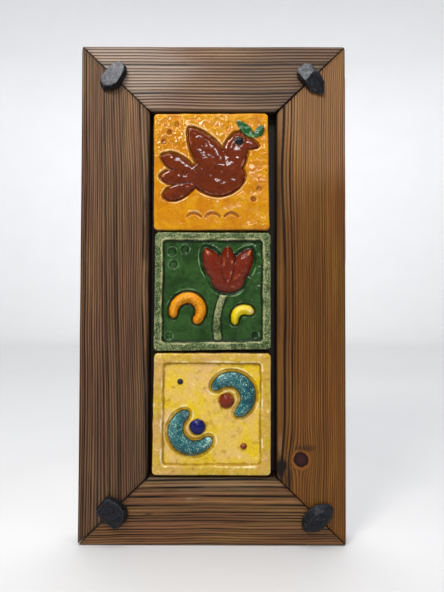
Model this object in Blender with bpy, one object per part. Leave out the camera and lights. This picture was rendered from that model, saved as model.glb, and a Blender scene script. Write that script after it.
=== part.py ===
"""A wall panel: three hand-made relief tiles, one above the other, in a mitred frame of four
brushed softwood boards, with a forged iron nail over each mitre.

Metres, +Z up. The front faces -Y and the wall is the plane y = 0. The origin is on the back of
the top rail, where the panel is fastened to its wall.
"""
import bpy
import bmesh
from math import ceil, cos, hypot, pi, sin

MM = 0.001

# The gap left between two pieces that touch, and how far a cutting tool reaches past a face
CONTACT_GAP = 0.3 * MM
TOOL_OVERRUN = 1.0 * MM

# Frame boards
STILE_WIDTH = 58.5 * MM
RAIL_WIDTH = 56.5 * MM
BOARD_THICKNESS = 20.0 * MM
OUTER_ARRIS = 1.6 * MM
INNER_ARRIS = 2.2 * MM
REBATE_LEDGE = 7.0 * MM

# Half of each mitre's open joint, at the frame's outer corner and at its inner corner
MITRE_OPENING = {
    "top_left": (0.25 * MM, 0.40 * MM),
    "top_right": (0.25 * MM, 1.10 * MM),
    "bottom_left": (0.90 * MM, 0.70 * MM),
    "bottom_right": (0.25 * MM, 0.40 * MM),
}

# Back board, let into the rebate behind the opening
BACK_BOARD_THICKNESS = 4.0 * MM
BACK_BOARD_INSET = 0.5 * MM
REBATE_CLEARANCE = 0.5 * MM

# Tiles, from the top down: width, height and how far the clay crept out of square at its corners,
# as (sideways, up) for the top left, top right, bottom right and bottom left corner
TILE_THICKNESS = 16.0 * MM
TILES = {
    "tile_top": {
        "width": 98.7 * MM,
        "height": 100.4 * MM,
        "sideways": -1.6 * MM,
        "creep": ((-0.15 * MM, -0.2 * MM), (-0.75 * MM, 0.3 * MM),
                  (0.75 * MM, 0.3 * MM), (0.15 * MM, -0.2 * MM)),
    },
    "tile_middle": {
        "width": 99.3 * MM,
        "height": 100.5 * MM,
        "sideways": -0.2 * MM,
        "creep": ((0.4 * MM, 0.0), (-0.2 * MM, 0.0), (0.3 * MM, 1.0 * MM), (-0.4 * MM, -0.9 * MM)),
    },
    "tile_bottom": {
        "width": 100.3 * MM,
        "height": 103.1 * MM,
        "sideways": -0.5 * MM,
        "creep": ((0.8 * MM, 0.0), (0.0, 0.0), (0.0, 0.0), (-0.6 * MM, 0.0)),
    },
}
TILE_CORNER_RADIUS = 3.2 * MM
TILE_EDGE_ROUNDING = 2.4 * MM
TILE_BACK_CHAMFER = 0.6 * MM
TILE_END_GAP = 1.1 * MM
TILE_JOINTS = (1.1 * MM, 1.8 * MM)
TILE_SIDE_GAP = 3.9 * MM

# Relief
GROUND_DEPTH = {"tile_top": 0.0, "tile_middle": 2.5 * MM, "tile_bottom": 2.4 * MM}
RIM_WIDTH = {"tile_middle": 6.6 * MM, "tile_bottom": 8.0 * MM}
RIM_SLOPE = 1.1 * MM
FIELD_CORNER_RADIUS = 3.0 * MM
TRENCH_WIDTH = 1.5 * MM
TRENCH_DEPTH = 1.7 * MM
FIGURE_SINK = 0.8 * MM
DENT_DEPTH = 1.3 * MM
FORM_ROOT = 0.6 * MM
FORM_ROOT_STEP = 0.07 * MM
SHOULDER = ((1.0, 0.35), (0.84, 0.75), (0.5, 1.0))
MOON_HORN = 0.5

# How far the forms stand up: the bird's over the tile's face, the others over the sunk ground
BIRD_BODY_RISE = 0.6 * MM
BIRD_NECK_RISE = 0.8 * MM
BIRD_FEATHER_RISES = (0.1 * MM, 0.2 * MM, 0.3 * MM)
BIRD_BEAK_RISE = 0.2 * MM
BIRD_WING_RISE = 1.5 * MM
BIRD_EYE_RISE = 2.2 * MM
SPRIG_RISE = 1.2 * MM
STEM_RISE = 2.0 * MM
TULIP_CUP_RISE = 1.9 * MM
TULIP_OUTER_RISES = (2.3 * MM, 2.4 * MM)
TULIP_DROP_RISE = 3.4 * MM
ORANGE_CURL_RISE = 3.2 * MM
YELLOW_CURL_RISE = 3.0 * MM
MOON_RISE = 3.4 * MM
LARGE_BALL_RISE = 4.4 * MM
SMALL_BALL_RISE = 1.6 * MM

# Nails: square shanks, driven into a hole across the mitre
SHANK_SIDE = 4.6 * MM
SHANK_LENGTH = 13.0 * MM
SHANK_CLEARANCE = 0.3 * MM
NAIL_EDGE = 2.0 * MM
NAIL_UNDERCUT = 0.5 * MM

# Hanging point, on the back of the top rail, below the frame's top edge
HANGING_DROP = 25.0 * MM

# What follows from the sizes above
OPENING_WIDTH = max(tile["width"] for tile in TILES.values()) + 2 * TILE_SIDE_GAP
OPENING_HEIGHT = sum(tile["height"] for tile in TILES.values()) + sum(TILE_JOINTS) + 2 * TILE_END_GAP
FRAME_WIDTH = OPENING_WIDTH + 2 * STILE_WIDTH
FRAME_HEIGHT = OPENING_HEIGHT + 2 * RAIL_WIDTH
FRAME_TOP = HANGING_DROP
FRAME_CENTRE_Z = FRAME_TOP - FRAME_HEIGHT / 2
BOARD_FACE_Y = -BOARD_THICKNESS
REBATE_DEPTH = BACK_BOARD_INSET + BACK_BOARD_THICKNESS + CONTACT_GAP
TILE_BACK_Y = -REBATE_DEPTH

# Every round stretch is drawn with this many steps to a half turn or to one side of a form
ROUND_STEPS = 9
CORNER_STEPS = 3

# A band is drawn in arc steps of about this angle, crowded towards its ends, which are cut square
# over this share of their rounding
BAND_STEP_DEGREES = 17
BAND_END_CROWDING = 0.75
BAND_BLUNTNESS = 0.12


def clear_scene():
    for thing in list(bpy.data.objects):
        bpy.data.objects.remove(thing)


def make_material(name, colour, roughness, metallic=0.0):
    material = bpy.data.materials.new(name)
    material.use_nodes = True
    shader = material.node_tree.nodes["Principled BSDF"]
    shader.inputs["Base Color"].default_value = (*colour, 1.0)
    shader.inputs["Roughness"].default_value = roughness
    shader.inputs["Metallic"].default_value = metallic
    return material


def object_from_bmesh(name, shape, material=None):
    """Turns a finished bmesh into a named object with its faces pointing out."""
    bmesh.ops.recalc_face_normals(shape, faces=shape.faces)
    mesh = bpy.data.meshes.new(name)
    shape.to_mesh(mesh)
    shape.free()
    if material:
        mesh.materials.append(material)
    thing = bpy.data.objects.new(name, mesh)
    bpy.context.scene.collection.objects.link(thing)
    return thing


def combine(body, tool, operation):
    """Joins the tool to the body or cuts it away, and removes the tool."""
    modifier = body.modifiers.new("combine", 'BOOLEAN')
    modifier.operation = operation
    modifier.solver = 'EXACT'
    modifier.object = tool
    bpy.context.view_layer.update()
    evaluated = body.evaluated_get(bpy.context.evaluated_depsgraph_get())
    mesh = bpy.data.meshes.new_from_object(evaluated)
    body.modifiers.clear()
    body.data = mesh
    bpy.data.objects.remove(tool)


def loft(loops):
    """A closed body through loops of equal length, with a flat cap at each end."""
    shape = bmesh.new()
    rings = [[shape.verts.new(point) for point in loop] for loop in loops]
    count = len(rings[0])
    for lower, upper in zip(rings, rings[1:]):
        for i in range(count):
            j = (i + 1) % count
            shape.faces.new((lower[i], lower[j], upper[j], upper[i]))
    shape.faces.new(rings[0])
    shape.faces.new(rings[-1])
    return shape


# Outlines, as points (across, up) in a tile's own plane

def rounded_rectangle(width, height, radius):
    points = []
    centres = ((1, 1, 0.0), (-1, 1, 0.5), (-1, -1, 1.0), (1, -1, 1.5))
    for side, end, start in centres:
        for i in range(CORNER_STEPS + 1):
            angle = (start + 0.5 * i / CORNER_STEPS) * pi
            points.append((side * (width / 2 - radius) + radius * cos(angle),
                           end * (height / 2 - radius) + radius * sin(angle)))
    return points


def disc(centre, radius):
    steps = 2 * ROUND_STEPS - 2
    return [(centre[0] + radius * cos(2 * pi * i / steps),
             centre[1] + radius * sin(2 * pi * i / steps)) for i in range(steps)]


def petal(root, tip, width, fullness, roundness):
    """A leaf, egg or feather along a straight line. Fullness above 1 moves its widest place to
    the tip, and roundness goes from 0.5, round ends, to 1, pointed ends."""
    across, up = tip[0] - root[0], tip[1] - root[1]
    sides = ([], [])
    for i in range(ROUND_STEPS + 1):
        share = 0.5 - 0.5 * cos(pi * i / ROUND_STEPS)
        half = 0.5 * width * sin(pi * share ** fullness) ** roundness / hypot(across, up)
        for side, sign in zip(sides, (1, -1)):
            side.append((root[0] + across * share + sign * up * half,
                         root[1] + up * share - sign * across * half))
    return sides[0] + sides[1][-2:0:-1]


def band(centre, radius, start, end, widths, growth, steps):
    """A band with round ends along an arc from one angle to another, in degrees. Widths are its
    width at the start, the middle and the end, and growth opens the arc into a spiral."""
    inner, outer = [], []
    first, middle, last = widths
    for i in range(steps + 1):
        even = i / steps
        share = even - sin(2 * pi * even) / (2 * pi) * BAND_END_CROWDING
        angle = (start + (end - start) * share) * pi / 180
        reach = radius + growth * share
        width = (2 * (share - 0.5) * (share - 1) * first + 4 * share * (1 - share) * middle
                 + 2 * share * (share - 0.5) * last)
        arc_length = abs(end - start) * pi / 180 * radius
        from_end = min(share, 1 - share) * arc_length / (0.5 * width)
        if from_end < 1:
            width *= max(BAND_BLUNTNESS, 1 - (1 - from_end) ** 2) ** 0.5
        inner.append((centre[0] + (reach - width / 2) * cos(angle),
                      centre[1] + (reach - width / 2) * sin(angle)))
        outer.append((centre[0] + (reach + width / 2) * cos(angle),
                      centre[1] + (reach + width / 2) * sin(angle)))
    return outer + inner[::-1]


def grown(outline, distance):
    """The outline moved outwards along its corners' normals."""
    area = sum(a[0] * b[1] - b[0] * a[1] for a, b in zip(outline, outline[1:] + outline[:1]))
    turn = distance if area > 0 else -distance
    moved = []
    for before, here, after in zip(outline[-1:] + outline[:-1], outline, outline[1:] + outline[:1]):
        across, up = after[0] - before[0], after[1] - before[1]
        length = hypot(across, up)
        moved.append((here[0] + turn * up / length, here[1] - turn * across / length))
    return moved


# Frame

def mitre_edge(across, corner, board_width, other_width):
    """How far a board stops short of the frame's corner, at a distance from its outer edge."""
    outer, inner = MITRE_OPENING[corner]
    share = across / board_width
    return share * other_width + outer + (inner - outer) * share


def board_section(width):
    """A board's section, as (distance from the outer edge, depth): up the outer edge, round its
    arris, over the face, round the inner arris and along the rebate."""
    section = [(0.0, 0.0)]
    for i in range(CORNER_STEPS + 1):
        angle = 0.5 * pi * i / CORNER_STEPS
        section.append((OUTER_ARRIS * (1 - cos(angle)), BOARD_FACE_Y + OUTER_ARRIS * (1 - sin(angle))))
    for i in range(CORNER_STEPS + 1):
        angle = 0.5 * pi * i / CORNER_STEPS
        section.append((width - INNER_ARRIS * (1 - sin(angle)),
                        BOARD_FACE_Y + INNER_ARRIS * (1 - cos(angle))))
    section += [(width, -REBATE_DEPTH), (width - REBATE_LEDGE, -REBATE_DEPTH), (width - REBATE_LEDGE, 0.0)]
    return section


def make_board(name, length, width, other_width, corners, place, material):
    """One frame board, from mitre to mitre. Place puts a point of it, given along the board, in
    depth and inwards from the outer edge, where it belongs in the frame."""
    ends = []
    for side, corner in ((-1, corners[0]), (1, corners[1])):
        reaches = [(length / 2 - mitre_edge(across, corner, width, other_width), depth, across)
                   for across, depth in board_section(width)]
        ends.append([place(side * reach, depth, across) for reach, depth, across in reaches])
    return object_from_bmesh(name, loft(ends), material)


def build_frame(wood):
    """Four boards, mitred from the frame's corners to the opening's corners."""
    def top(along, depth, inwards):
        return (along, depth, FRAME_TOP - inwards)

    def bottom(along, depth, inwards):
        return (along, depth, FRAME_TOP - FRAME_HEIGHT + inwards)

    def left(along, depth, inwards):
        return (-FRAME_WIDTH / 2 + inwards, depth, FRAME_CENTRE_Z + along)

    def right(along, depth, inwards):
        return (FRAME_WIDTH / 2 - inwards, depth, FRAME_CENTRE_Z + along)

    for name, place in (("top", top), ("bottom", bottom)):
        make_board(name + "_rail", FRAME_WIDTH, RAIL_WIDTH, STILE_WIDTH,
                   (name + "_left", name + "_right"), place, wood)
    for name, place in (("left", left), ("right", right)):
        make_board(name + "_stile", FRAME_HEIGHT, STILE_WIDTH, RAIL_WIDTH,
                   ("bottom_" + name, "top_" + name), place, wood)


def build_back_board(plywood):
    """A thin board, let into the rebate from behind."""
    width = OPENING_WIDTH + 2 * (REBATE_LEDGE - REBATE_CLEARANCE)
    height = OPENING_HEIGHT + 2 * (REBATE_LEDGE - REBATE_CLEARANCE)
    loops = []
    for depth in (-BACK_BOARD_INSET, -BACK_BOARD_INSET - BACK_BOARD_THICKNESS):
        loops.append([(side * width / 2, depth, FRAME_CENTRE_Z + end * height / 2)
                      for side, end in ((-1, -1), (1, -1), (1, 1), (-1, 1))])
    object_from_bmesh("back_board", loft(loops), plywood)


# Tiles

class Tile:
    """One tile's place, so that its relief can be drawn in its own plane. Outlines are in
    hundredths of the tile's width, from its middle, and depth is measured from its face,
    outwards, in metres."""

    def __init__(self, name, centre_z):
        self.name = name
        self.width = TILES[name]["width"]
        self.height = TILES[name]["height"]
        self.creep = TILES[name]["creep"]
        self.centre = (TILES[name]["sideways"], centre_z)
        self.face_y = TILE_BACK_Y - TILE_THICKNESS
        self.ground = -GROUND_DEPTH[name]
        self.unit = self.width / 100
        self.next_root = FORM_ROOT

    def place(self, point, depth):
        """A point of the tile's plane, with the clay's creep at the nearest corners."""
        point = (point[0] * self.unit, point[1] * self.unit)
        across = 0.5 + point[0] / self.width
        up = 0.5 + point[1] / self.height
        shares = ((1 - across) * up, across * up, across * (1 - up), (1 - across) * (1 - up))
        shift = [sum(share * corner[axis] for share, corner in zip(shares, self.creep)) for axis in (0, 1)]
        return (self.centre[0] + point[0] + shift[0], self.face_y - depth,
                self.centre[1] + point[1] + shift[1])

    def rectangle(self, inset, radius):
        return rounded_rectangle((self.width - 2 * inset) / self.unit, (self.height - 2 * inset) / self.unit,
                                 radius / self.unit)

    def solid(self, levels):
        return loft([[self.place(point, depth) for point in outline] for outline, depth in levels])

    def slab(self, clay):
        """The pressed slab, with a soft edge in front and a small chamfer behind."""
        def outline(inset):
            return self.rectangle(inset, TILE_CORNER_RADIUS - 0.5 * inset)
        levels = [(outline(TILE_BACK_CHAMFER), -TILE_THICKNESS),
                  (outline(0.0), -TILE_THICKNESS + TILE_BACK_CHAMFER)]
        for i in range(CORNER_STEPS + 1):
            angle = 0.5 * pi * i / CORNER_STEPS
            levels.append((outline(TILE_EDGE_ROUNDING * (1 - cos(angle))),
                           -TILE_EDGE_ROUNDING * (1 - sin(angle))))
        self.body = object_from_bmesh(self.name, self.solid(levels), clay)

    def cut(self, outline, floor, slope=0.0):
        """Sinks an outline down to a floor, with walls that slope outwards."""
        mouth = grown(outline, slope / self.unit)
        tool = object_from_bmesh("tool", self.solid([(outline, floor), (mouth, 0.0), (mouth, TOOL_OVERRUN)]))
        combine(self.body, tool, 'DIFFERENCE')

    def sink_field(self):
        """Sinks the ground inside the tile's rim."""
        field = self.rectangle(RIM_WIDTH[self.name] + RIM_SLOPE, FIELD_CORNER_RADIUS)
        self.cut(field, self.ground, RIM_SLOPE)

    def trench(self, form, floor):
        self.cut(form(grow=TRENCH_WIDTH / self.unit), floor)

    def dent(self, form):
        self.cut(form(), self.ground - DENT_DEPTH)

    def add(self, form, root, top):
        """Raises a form from its root to its top, over a round shoulder. Each one is rooted a
        little deeper than the last, so that no two of their undersides share a plane."""
        rise = top - root
        levels = [(form(), root - self.next_root)]
        levels += [(form(scale), root + share * rise) for scale, share in SHOULDER]
        combine(self.body, object_from_bmesh("form", self.solid(levels)), 'UNION')
        self.next_root += FORM_ROOT_STEP


# Forms of the relief, in hundredths of the tile's width, from its middle. Each one is a function
# that draws the form's outline at a share of its width, grown all round by a distance.

def petal_form(root, tip, width, fullness=1.0, roundness=0.6):
    length = hypot(tip[0] - root[0], tip[1] - root[1])

    def draw(scale=1.0, grow=0.0):
        shift = (grow - 0.5 * (1 - scale) * width) / length
        ends = [(near[0] + (near[0] - far[0]) * shift, near[1] + (near[1] - far[1]) * shift)
                for near, far in ((root, tip), (tip, root))]
        return petal(ends[0], ends[1], width * scale + 2 * grow, fullness, roundness)
    return draw


def disc_form(centre, radius):
    def draw(scale=1.0, grow=0.0):
        return disc(centre, radius * scale + grow)
    return draw


def band_form(centre, radius, start, end, widths, growth=0.0):
    turn = 1 if end > start else -1
    steps = ceil(abs(end - start) / BAND_STEP_DEGREES) + 4

    def draw(scale=1.0, grow=0.0):
        narrowing = 0.5 * (1 - scale)
        first = start + turn * (narrowing * widths[0] - grow) / radius * 180 / pi
        last = end - turn * (narrowing * widths[2] - grow) / (radius + growth) * 180 / pi
        return band(centre, radius, first, last, [width * scale + 2 * grow for width in widths],
                    growth, steps)
    return draw


def moon_form(centre, radius, facing, thickness, spread):
    """A moon, open towards an angle, thickest at its back, with round horns."""
    horn = MOON_HORN * thickness
    return band_form(centre, radius, facing + 180 - spread, facing + 180 + spread, (horn, thickness, horn))


def bird_relief(tile):
    """A folk bird in a trench, looking right, with a raised wing, a fan of three tail feathers, a
    sprig in its beak and a bead for its eye, among dots and arcs pressed in the ground."""
    body = petal_form((-22, -3), (29, -4), 35, 1.15, 0.55)
    neck = petal_form((11, -13), (26, 34), 22, 1.2, 0.5)
    beak = petal_form((25, 26), (41, 22), 9, 0.8, 0.8)
    wing = petal_form((13, -7), (-19, 38), 25, 0.9, 0.7)
    feathers = [petal_form((-10, -5 + 0.2 * up), (-44 + 0.006 * up * up, up), 13.5, 1.5, 0.6)
                for up in (14, -4, -22)]
    floor = tile.ground - TRENCH_DEPTH
    for form in feathers + [body, neck, beak, wing]:
        tile.trench(form, floor)
    rises = (BIRD_BODY_RISE, BIRD_NECK_RISE) + BIRD_FEATHER_RISES + (BIRD_BEAK_RISE, BIRD_WING_RISE)
    for form, top in zip([body, neck] + feathers + [beak, wing], rises):
        tile.add(form, floor, top)
    tile.add(disc_form((24, 26), 4.0), floor, BIRD_EYE_RISE)
    for tip, width in (((22, 44), 8), ((45.5, 40), 7.5)):
        tile.add(petal_form((38, 29), tip, width, 1.0, 0.75), tile.ground, SPRIG_RISE)
    for place in ((-36, 34), (-41, 26), (-30, 41), (36, -24), (41, -15)):
        tile.dent(disc_form(place, 2.6))
    for across in (-15, 1, 17):
        tile.dent(band_form((across, -43), 7, 25, 155, (2.0, 3.0, 2.0)))


def tulip_relief(tile):
    """A folk tulip that leans right on a bent stem, with a curled leaf on each side and dots
    pressed in the upper left corner, all on a sunk ground."""
    ground = tile.ground
    tile.sink_field()
    cup = petal_form((13, -1), (13, 30), 29, 0.8, 0.5)
    outer = [petal_form((13, 1), tip, 17, 1.1, 0.65) for tip in ((-7, 37), (33, 36))]
    drop = petal_form((13, 2), (13, 39), 17, 0.95, 0.7)
    stem = band_form((62, -29), 58.4, 144, 194, (6.0, 6.0, 7.5))
    tile.add(stem, ground, ground + STEM_RISE)
    for form in [cup] + outer:
        tile.trench(form, ground - FIGURE_SINK)
    for form, rise in zip([cup] + outer + [drop], (TULIP_CUP_RISE,) + TULIP_OUTER_RISES + (TULIP_DROP_RISE,)):
        tile.add(form, ground - FIGURE_SINK, ground + rise)
    orange_curl = band_form((-21, -17), 10.5, -62, 205, (7, 9.5, 6.5), 2.0)
    yellow_curl = band_form((27, -24), 8, 215, 30, (4, 8.5, 6.5))
    tile.add(orange_curl, ground, ground + ORANGE_CURL_RISE)
    tile.add(yellow_curl, ground, ground + YELLOW_CURL_RISE)
    for place in ((-35, 34), (-24, 36), (-34, 23)):
        tile.dent(disc_form(place, 3.8))
    for place in ((36, -38), (-37, -38)):
        tile.dent(disc_form(place, 3.0))


def moon_relief(tile):
    """Two moons that face each other across the field, each with a ball in its hollow and a
    groove round it, and small balls in the free corners."""
    ground = tile.ground
    tile.sink_field()
    moons = [moon_form((-15.5, -14), 15, 42, 14, 118), moon_form((15.5, 14), 15, 222, 14, 118)]
    for moon in moons:
        tile.trench(moon, ground - FIGURE_SINK)
    for moon in moons:
        tile.add(moon, ground - FIGURE_SINK, ground + MOON_RISE)
    balls = (((-12, -11), 6.6, LARGE_BALL_RISE), ((12, 11), 6.3, LARGE_BALL_RISE),
             ((-27, 27), 2.4, SMALL_BALL_RISE), ((27, -27), 2.4, SMALL_BALL_RISE))
    for centre, radius, rise in balls:
        tile.add(disc_form(centre, radius), ground, ground + rise)


def build_tiles(glazes):
    top = FRAME_CENTRE_Z + OPENING_HEIGHT / 2 - TILE_END_GAP
    reliefs = {"tile_top": bird_relief, "tile_middle": tulip_relief, "tile_bottom": moon_relief}
    for name, joint in zip(TILES, TILE_JOINTS + (0.0,)):
        tile = Tile(name, top - TILES[name]["height"] / 2)
        tile.slab(glazes[name])
        reliefs[name](tile)
        top -= TILES[name]["height"] + joint


# Nails, each as the outline of its hammered head and the corners of its top facets, in
# millimetres from its shank: (across, up) and (across, up, height above the board)
NAILS = {
    "top_left": {
        "from_side": 27.7 * MM,
        "outline": ((4.3, 11.6), (8.4, 10.2), (11.4, 7.0), (11.6, 2.6), (8.6, -2.9), (4.3, -8.8),
                    (-2.0, -11.4), (-8.7, -10.6), (-11.6, -6.0), (-11.2, -2.2), (-3.0, 7.0), (-0.6, 9.8)),
        "facets": ((4.0, 7.2, 6.0), (7.6, 4.4, 6.3), (3.6, -4.6, 6.3), (-2.2, -8.0, 5.4), (-7.6, -5.6, 5.4)),
    },
    "top_right": {
        "from_side": 30.0 * MM,
        "outline": ((-11.3, 9.0), (-5.1, 13.4), (0.3, 12.6), (3.1, 8.4), (7.9, 5.2), (11.5, -2.1),
                    (11.5, -12.9), (8.1, -13.2), (-0.3, -10.7), (-6.5, -3.4), (-11.5, 1.2), (-12.2, 5.3)),
        "facets": ((0.9, 4.0, 8.2), (-5.0, -2.6, 7.6), (-9.2, 5.2, 4.0), (-3.4, 9.4, 4.6)),
    },
    "bottom_left": {
        "from_side": 29.3 * MM,
        "outline": ((-13.5, 3.0), (-4.6, 13.4), (-1.2, 13.4), (7.1, 9.1), (13.3, 3.0), (13.5, -3.4),
                    (11.2, -8.0), (5.8, -12.9), (2.5, -13.4), (-7.0, -6.4), (-11.3, -2.1)),
        "facets": ((-9.0, 3.0, 6.6), (-2.6, 8.6, 7.0), (8.6, 5.0, 7.4), (8.4, -5.0, 7.0), (2.6, -8.6, 6.6)),
    },
    "bottom_right": {
        "from_side": 24.8 * MM,
        "outline": ((-13.5, -5.9), (-12.5, 0.4), (-7.9, 6.8), (-2.4, 10.8), (5.7, 12.2), (11.1, 11.3),
                    (13.5, 8.2), (12.8, 1.5), (8.0, -5.7), (1.2, -10.8), (-8.1, -11.8), (-12.2, -9.6)),
        "facets": ((-8.6, -2.4, 7.0), (-3.0, 5.0, 7.4), (3.8, 8.0, 7.2), (10.2, 7.4, 5.6), (9.2, 0.4, 6.2),
                   (2.8, -7.0, 6.0), (-7.2, -8.6, 5.6)),
    },
}


def nail_place(corner):
    """A point on the mitre, at the nail's distance from the frame's side."""
    from_side = NAILS[corner]["from_side"]
    from_end = from_side * RAIL_WIDTH / STILE_WIDTH
    side = 1 if corner.endswith("right") else -1
    up = FRAME_TOP - from_end if corner.startswith("top") else FRAME_TOP - FRAME_HEIGHT + from_end
    return side * (FRAME_WIDTH / 2 - from_side), up


def square_bar(name, centre, side, front, back):
    """A bar of square section, standing on its corner as the mitre runs."""
    loops = []
    for depth in (front, back):
        loops.append([(centre[0] + side / 2 * across, depth, centre[1] + side / 2 * up)
                      for across, up in ((-1, -1), (1, -1), (1, 1), (-1, 1))])
    return object_from_bmesh(name, loft(loops))


def build_nails(iron):
    for corner, nail in NAILS.items():
        centre = nail_place(corner)
        seat = BOARD_FACE_Y - CONTACT_GAP
        shape = bmesh.new()
        for across, up in nail["outline"]:
            reach = hypot(across, up) * MM
            share = (reach - NAIL_UNDERCUT) / reach
            for height, scale in ((0.0, share), (NAIL_EDGE, 1.0)):
                shape.verts.new((centre[0] + across * MM * scale, seat - height,
                                 centre[1] + up * MM * scale))
        for across, up, height in nail["facets"]:
            shape.verts.new((centre[0] + across * MM, seat - height * MM, centre[1] + up * MM))
        bmesh.ops.convex_hull(shape, input=shape.verts)
        head = object_from_bmesh("nail_" + corner, shape, iron)
        shank = square_bar("shank", centre, SHANK_SIDE, seat - NAIL_EDGE / 2, seat + SHANK_LENGTH)
        combine(head, shank, 'UNION')
        rail = bpy.data.objects[corner.split("_")[0] + "_rail"]
        stile = bpy.data.objects[corner.split("_")[1] + "_stile"]
        for board in (rail, stile):
            hole = square_bar("hole", centre, SHANK_SIDE + 2 * SHANK_CLEARANCE,
                              BOARD_FACE_Y - TOOL_OVERRUN, seat + SHANK_LENGTH + SHANK_CLEARANCE)
            combine(board, hole, 'DIFFERENCE')


clear_scene()
scorched_softwood = make_material("scorched_softwood", (0.13, 0.055, 0.026), 0.62)
back_plywood = make_material("back_plywood", (0.16, 0.09, 0.045), 0.75)
forged_iron = make_material("forged_iron", (0.035, 0.036, 0.04), 0.5, 0.8)
tile_glazes = {
    "tile_top": make_material("ochre_glaze", (0.72, 0.28, 0.01), 0.2),
    "tile_middle": make_material("green_glaze", (0.06, 0.13, 0.03), 0.22),
    "tile_bottom": make_material("yellow_glaze", (0.72, 0.55, 0.13), 0.25),
}
build_frame(scorched_softwood)
build_back_board(back_plywood)
build_tiles(tile_glazes)
build_nails(forged_iron)
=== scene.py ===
from math import ceil, cos, hypot, pi, radians, sin

import bmesh
import bpy
import numpy as np
from mathutils import Matrix, Vector


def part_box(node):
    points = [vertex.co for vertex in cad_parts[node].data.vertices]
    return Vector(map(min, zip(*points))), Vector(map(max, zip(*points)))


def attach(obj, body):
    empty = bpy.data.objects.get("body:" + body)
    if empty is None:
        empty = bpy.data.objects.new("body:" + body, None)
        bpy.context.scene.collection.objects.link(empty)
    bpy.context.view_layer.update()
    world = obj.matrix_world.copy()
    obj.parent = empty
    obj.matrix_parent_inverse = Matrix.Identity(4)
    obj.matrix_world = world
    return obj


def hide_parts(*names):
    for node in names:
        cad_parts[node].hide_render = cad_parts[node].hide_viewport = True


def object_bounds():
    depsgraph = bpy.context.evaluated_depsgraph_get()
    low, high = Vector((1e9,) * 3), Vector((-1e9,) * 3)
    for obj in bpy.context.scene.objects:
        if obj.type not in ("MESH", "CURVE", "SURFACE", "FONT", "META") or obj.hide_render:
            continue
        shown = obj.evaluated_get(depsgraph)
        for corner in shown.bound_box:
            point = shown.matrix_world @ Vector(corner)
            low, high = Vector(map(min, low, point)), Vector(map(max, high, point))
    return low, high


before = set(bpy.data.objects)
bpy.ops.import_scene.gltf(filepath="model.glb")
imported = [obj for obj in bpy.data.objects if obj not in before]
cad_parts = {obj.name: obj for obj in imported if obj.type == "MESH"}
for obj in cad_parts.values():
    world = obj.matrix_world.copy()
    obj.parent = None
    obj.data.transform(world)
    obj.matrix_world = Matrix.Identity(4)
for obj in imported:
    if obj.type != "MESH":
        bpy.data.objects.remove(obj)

MM = 0.001
cad_low, cad_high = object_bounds()


# Camera
# The panel was photographed square on, from about 0.38 m, with the lens level and a little low.
# The four outer corners of the frame's face give the place, the pitch and the slight roll.

FACE_CENTRE = Vector((0.0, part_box("top_rail")[0].y, (cad_low.z + cad_high.z) / 2))
CAMERA_OFFSET = Vector((7.8, -376.2, -9.9)) * MM
CAMERA_PITCH = 1.14
CAMERA_ROLL = 0.17
CAMERA_LENS_MM = 27.1


def add_object(name, data):
    made = bpy.data.objects.new(name, data)
    bpy.context.scene.collection.objects.link(made)
    return made


camera = add_object("camera", bpy.data.cameras.new("camera"))
camera.data.lens = CAMERA_LENS_MM
camera.data.sensor_width = 36.0
camera.data.clip_start = 0.01
bpy.context.scene.camera = camera
camera.matrix_world = (Matrix.Translation(FACE_CENTRE + CAMERA_OFFSET)
                       @ Matrix.Rotation(radians(90 + CAMERA_PITCH), 4, 'X')
                       @ Matrix.Rotation(radians(CAMERA_ROLL), 4, 'Z'))


# Frame boards
# Four boards of straight-grained softwood, scorched, wire-brushed along the grain and oiled.
# Brushing wears the soft early wood down between the hard dark rings. They are mitred and butted.

OUTER_ARRIS = 1.6 * MM
INNER_ARRIS = 2.2 * MM
REBATE_LEDGE = 7.0 * MM
REBATE_DEPTH = 4.8 * MM
MITRE_EASE = 0.5 * MM
CORNER_ROUNDING = 3.6 * MM
BRUSHED_DEPTH = 0.42 * MM
ACROSS_STEP = 0.33 * MM
ALONG_STEP = 3.2 * MM
SIDE_STEP = 1.4 * MM
WOOD_MARGIN = 30 * MM
FAR_FROM_KNOTS = 9.0

# Half of each mitre's open joint, at the frame's outer corner and at its inner corner
MITRE_OPENING = {
    "top_left": (0.42 * MM, 0.55 * MM),
    "top_right": (0.36 * MM, 1.10 * MM),
    "bottom_left": (0.90 * MM, 0.70 * MM),
    "bottom_right": (0.40 * MM, 0.50 * MM),
}


def linear(colour):
    """A #rrggbb colour as linear red, green, blue and alpha."""
    shares = [int(colour[i:i + 2], 16) / 255 for i in (1, 3, 5)]
    return [s / 12.92 if s <= 0.04045 else ((s + 0.055) / 1.055) ** 2.4 for s in shares] + [1.0]


def feed(tree, node, inputs):
    """Links or sets a node's inputs, which are named or numbered."""
    for name, value in inputs.items():
        if isinstance(value, bpy.types.NodeSocket):
            tree.links.new(value, node.inputs[name])
        else:
            node.inputs[name].default_value = linear(value) if isinstance(value, str) else value


def add(tree, kind, inputs=None, out=0, stops=(), **settings):
    """Adds a node with its settings and inputs, and a colour ramp with its stops, each a place and
    a colour. Gives the output asked for."""
    node = tree.nodes.new("ShaderNode" + kind)
    for name, value in settings.items():
        setattr(node, name, value)
    feed(tree, node, inputs or {})
    if stops:
        elements = node.color_ramp.elements
        while len(elements) < len(stops):
            elements.new(0.5)
        for element, (place, colour) in zip(elements, stops):
            element.position = place
            element.color = linear(colour)
    return node.outputs[out]


def new_material(name):
    material = bpy.data.materials.new(name)
    material.use_nodes = True
    return material, material.node_tree, material.node_tree.nodes["Principled BSDF"]


def smoothstep(low, high, value):
    share = np.clip((value - low) / (high - low), 0.0, 1.0)
    return share * share * (3 - 2 * share)


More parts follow.
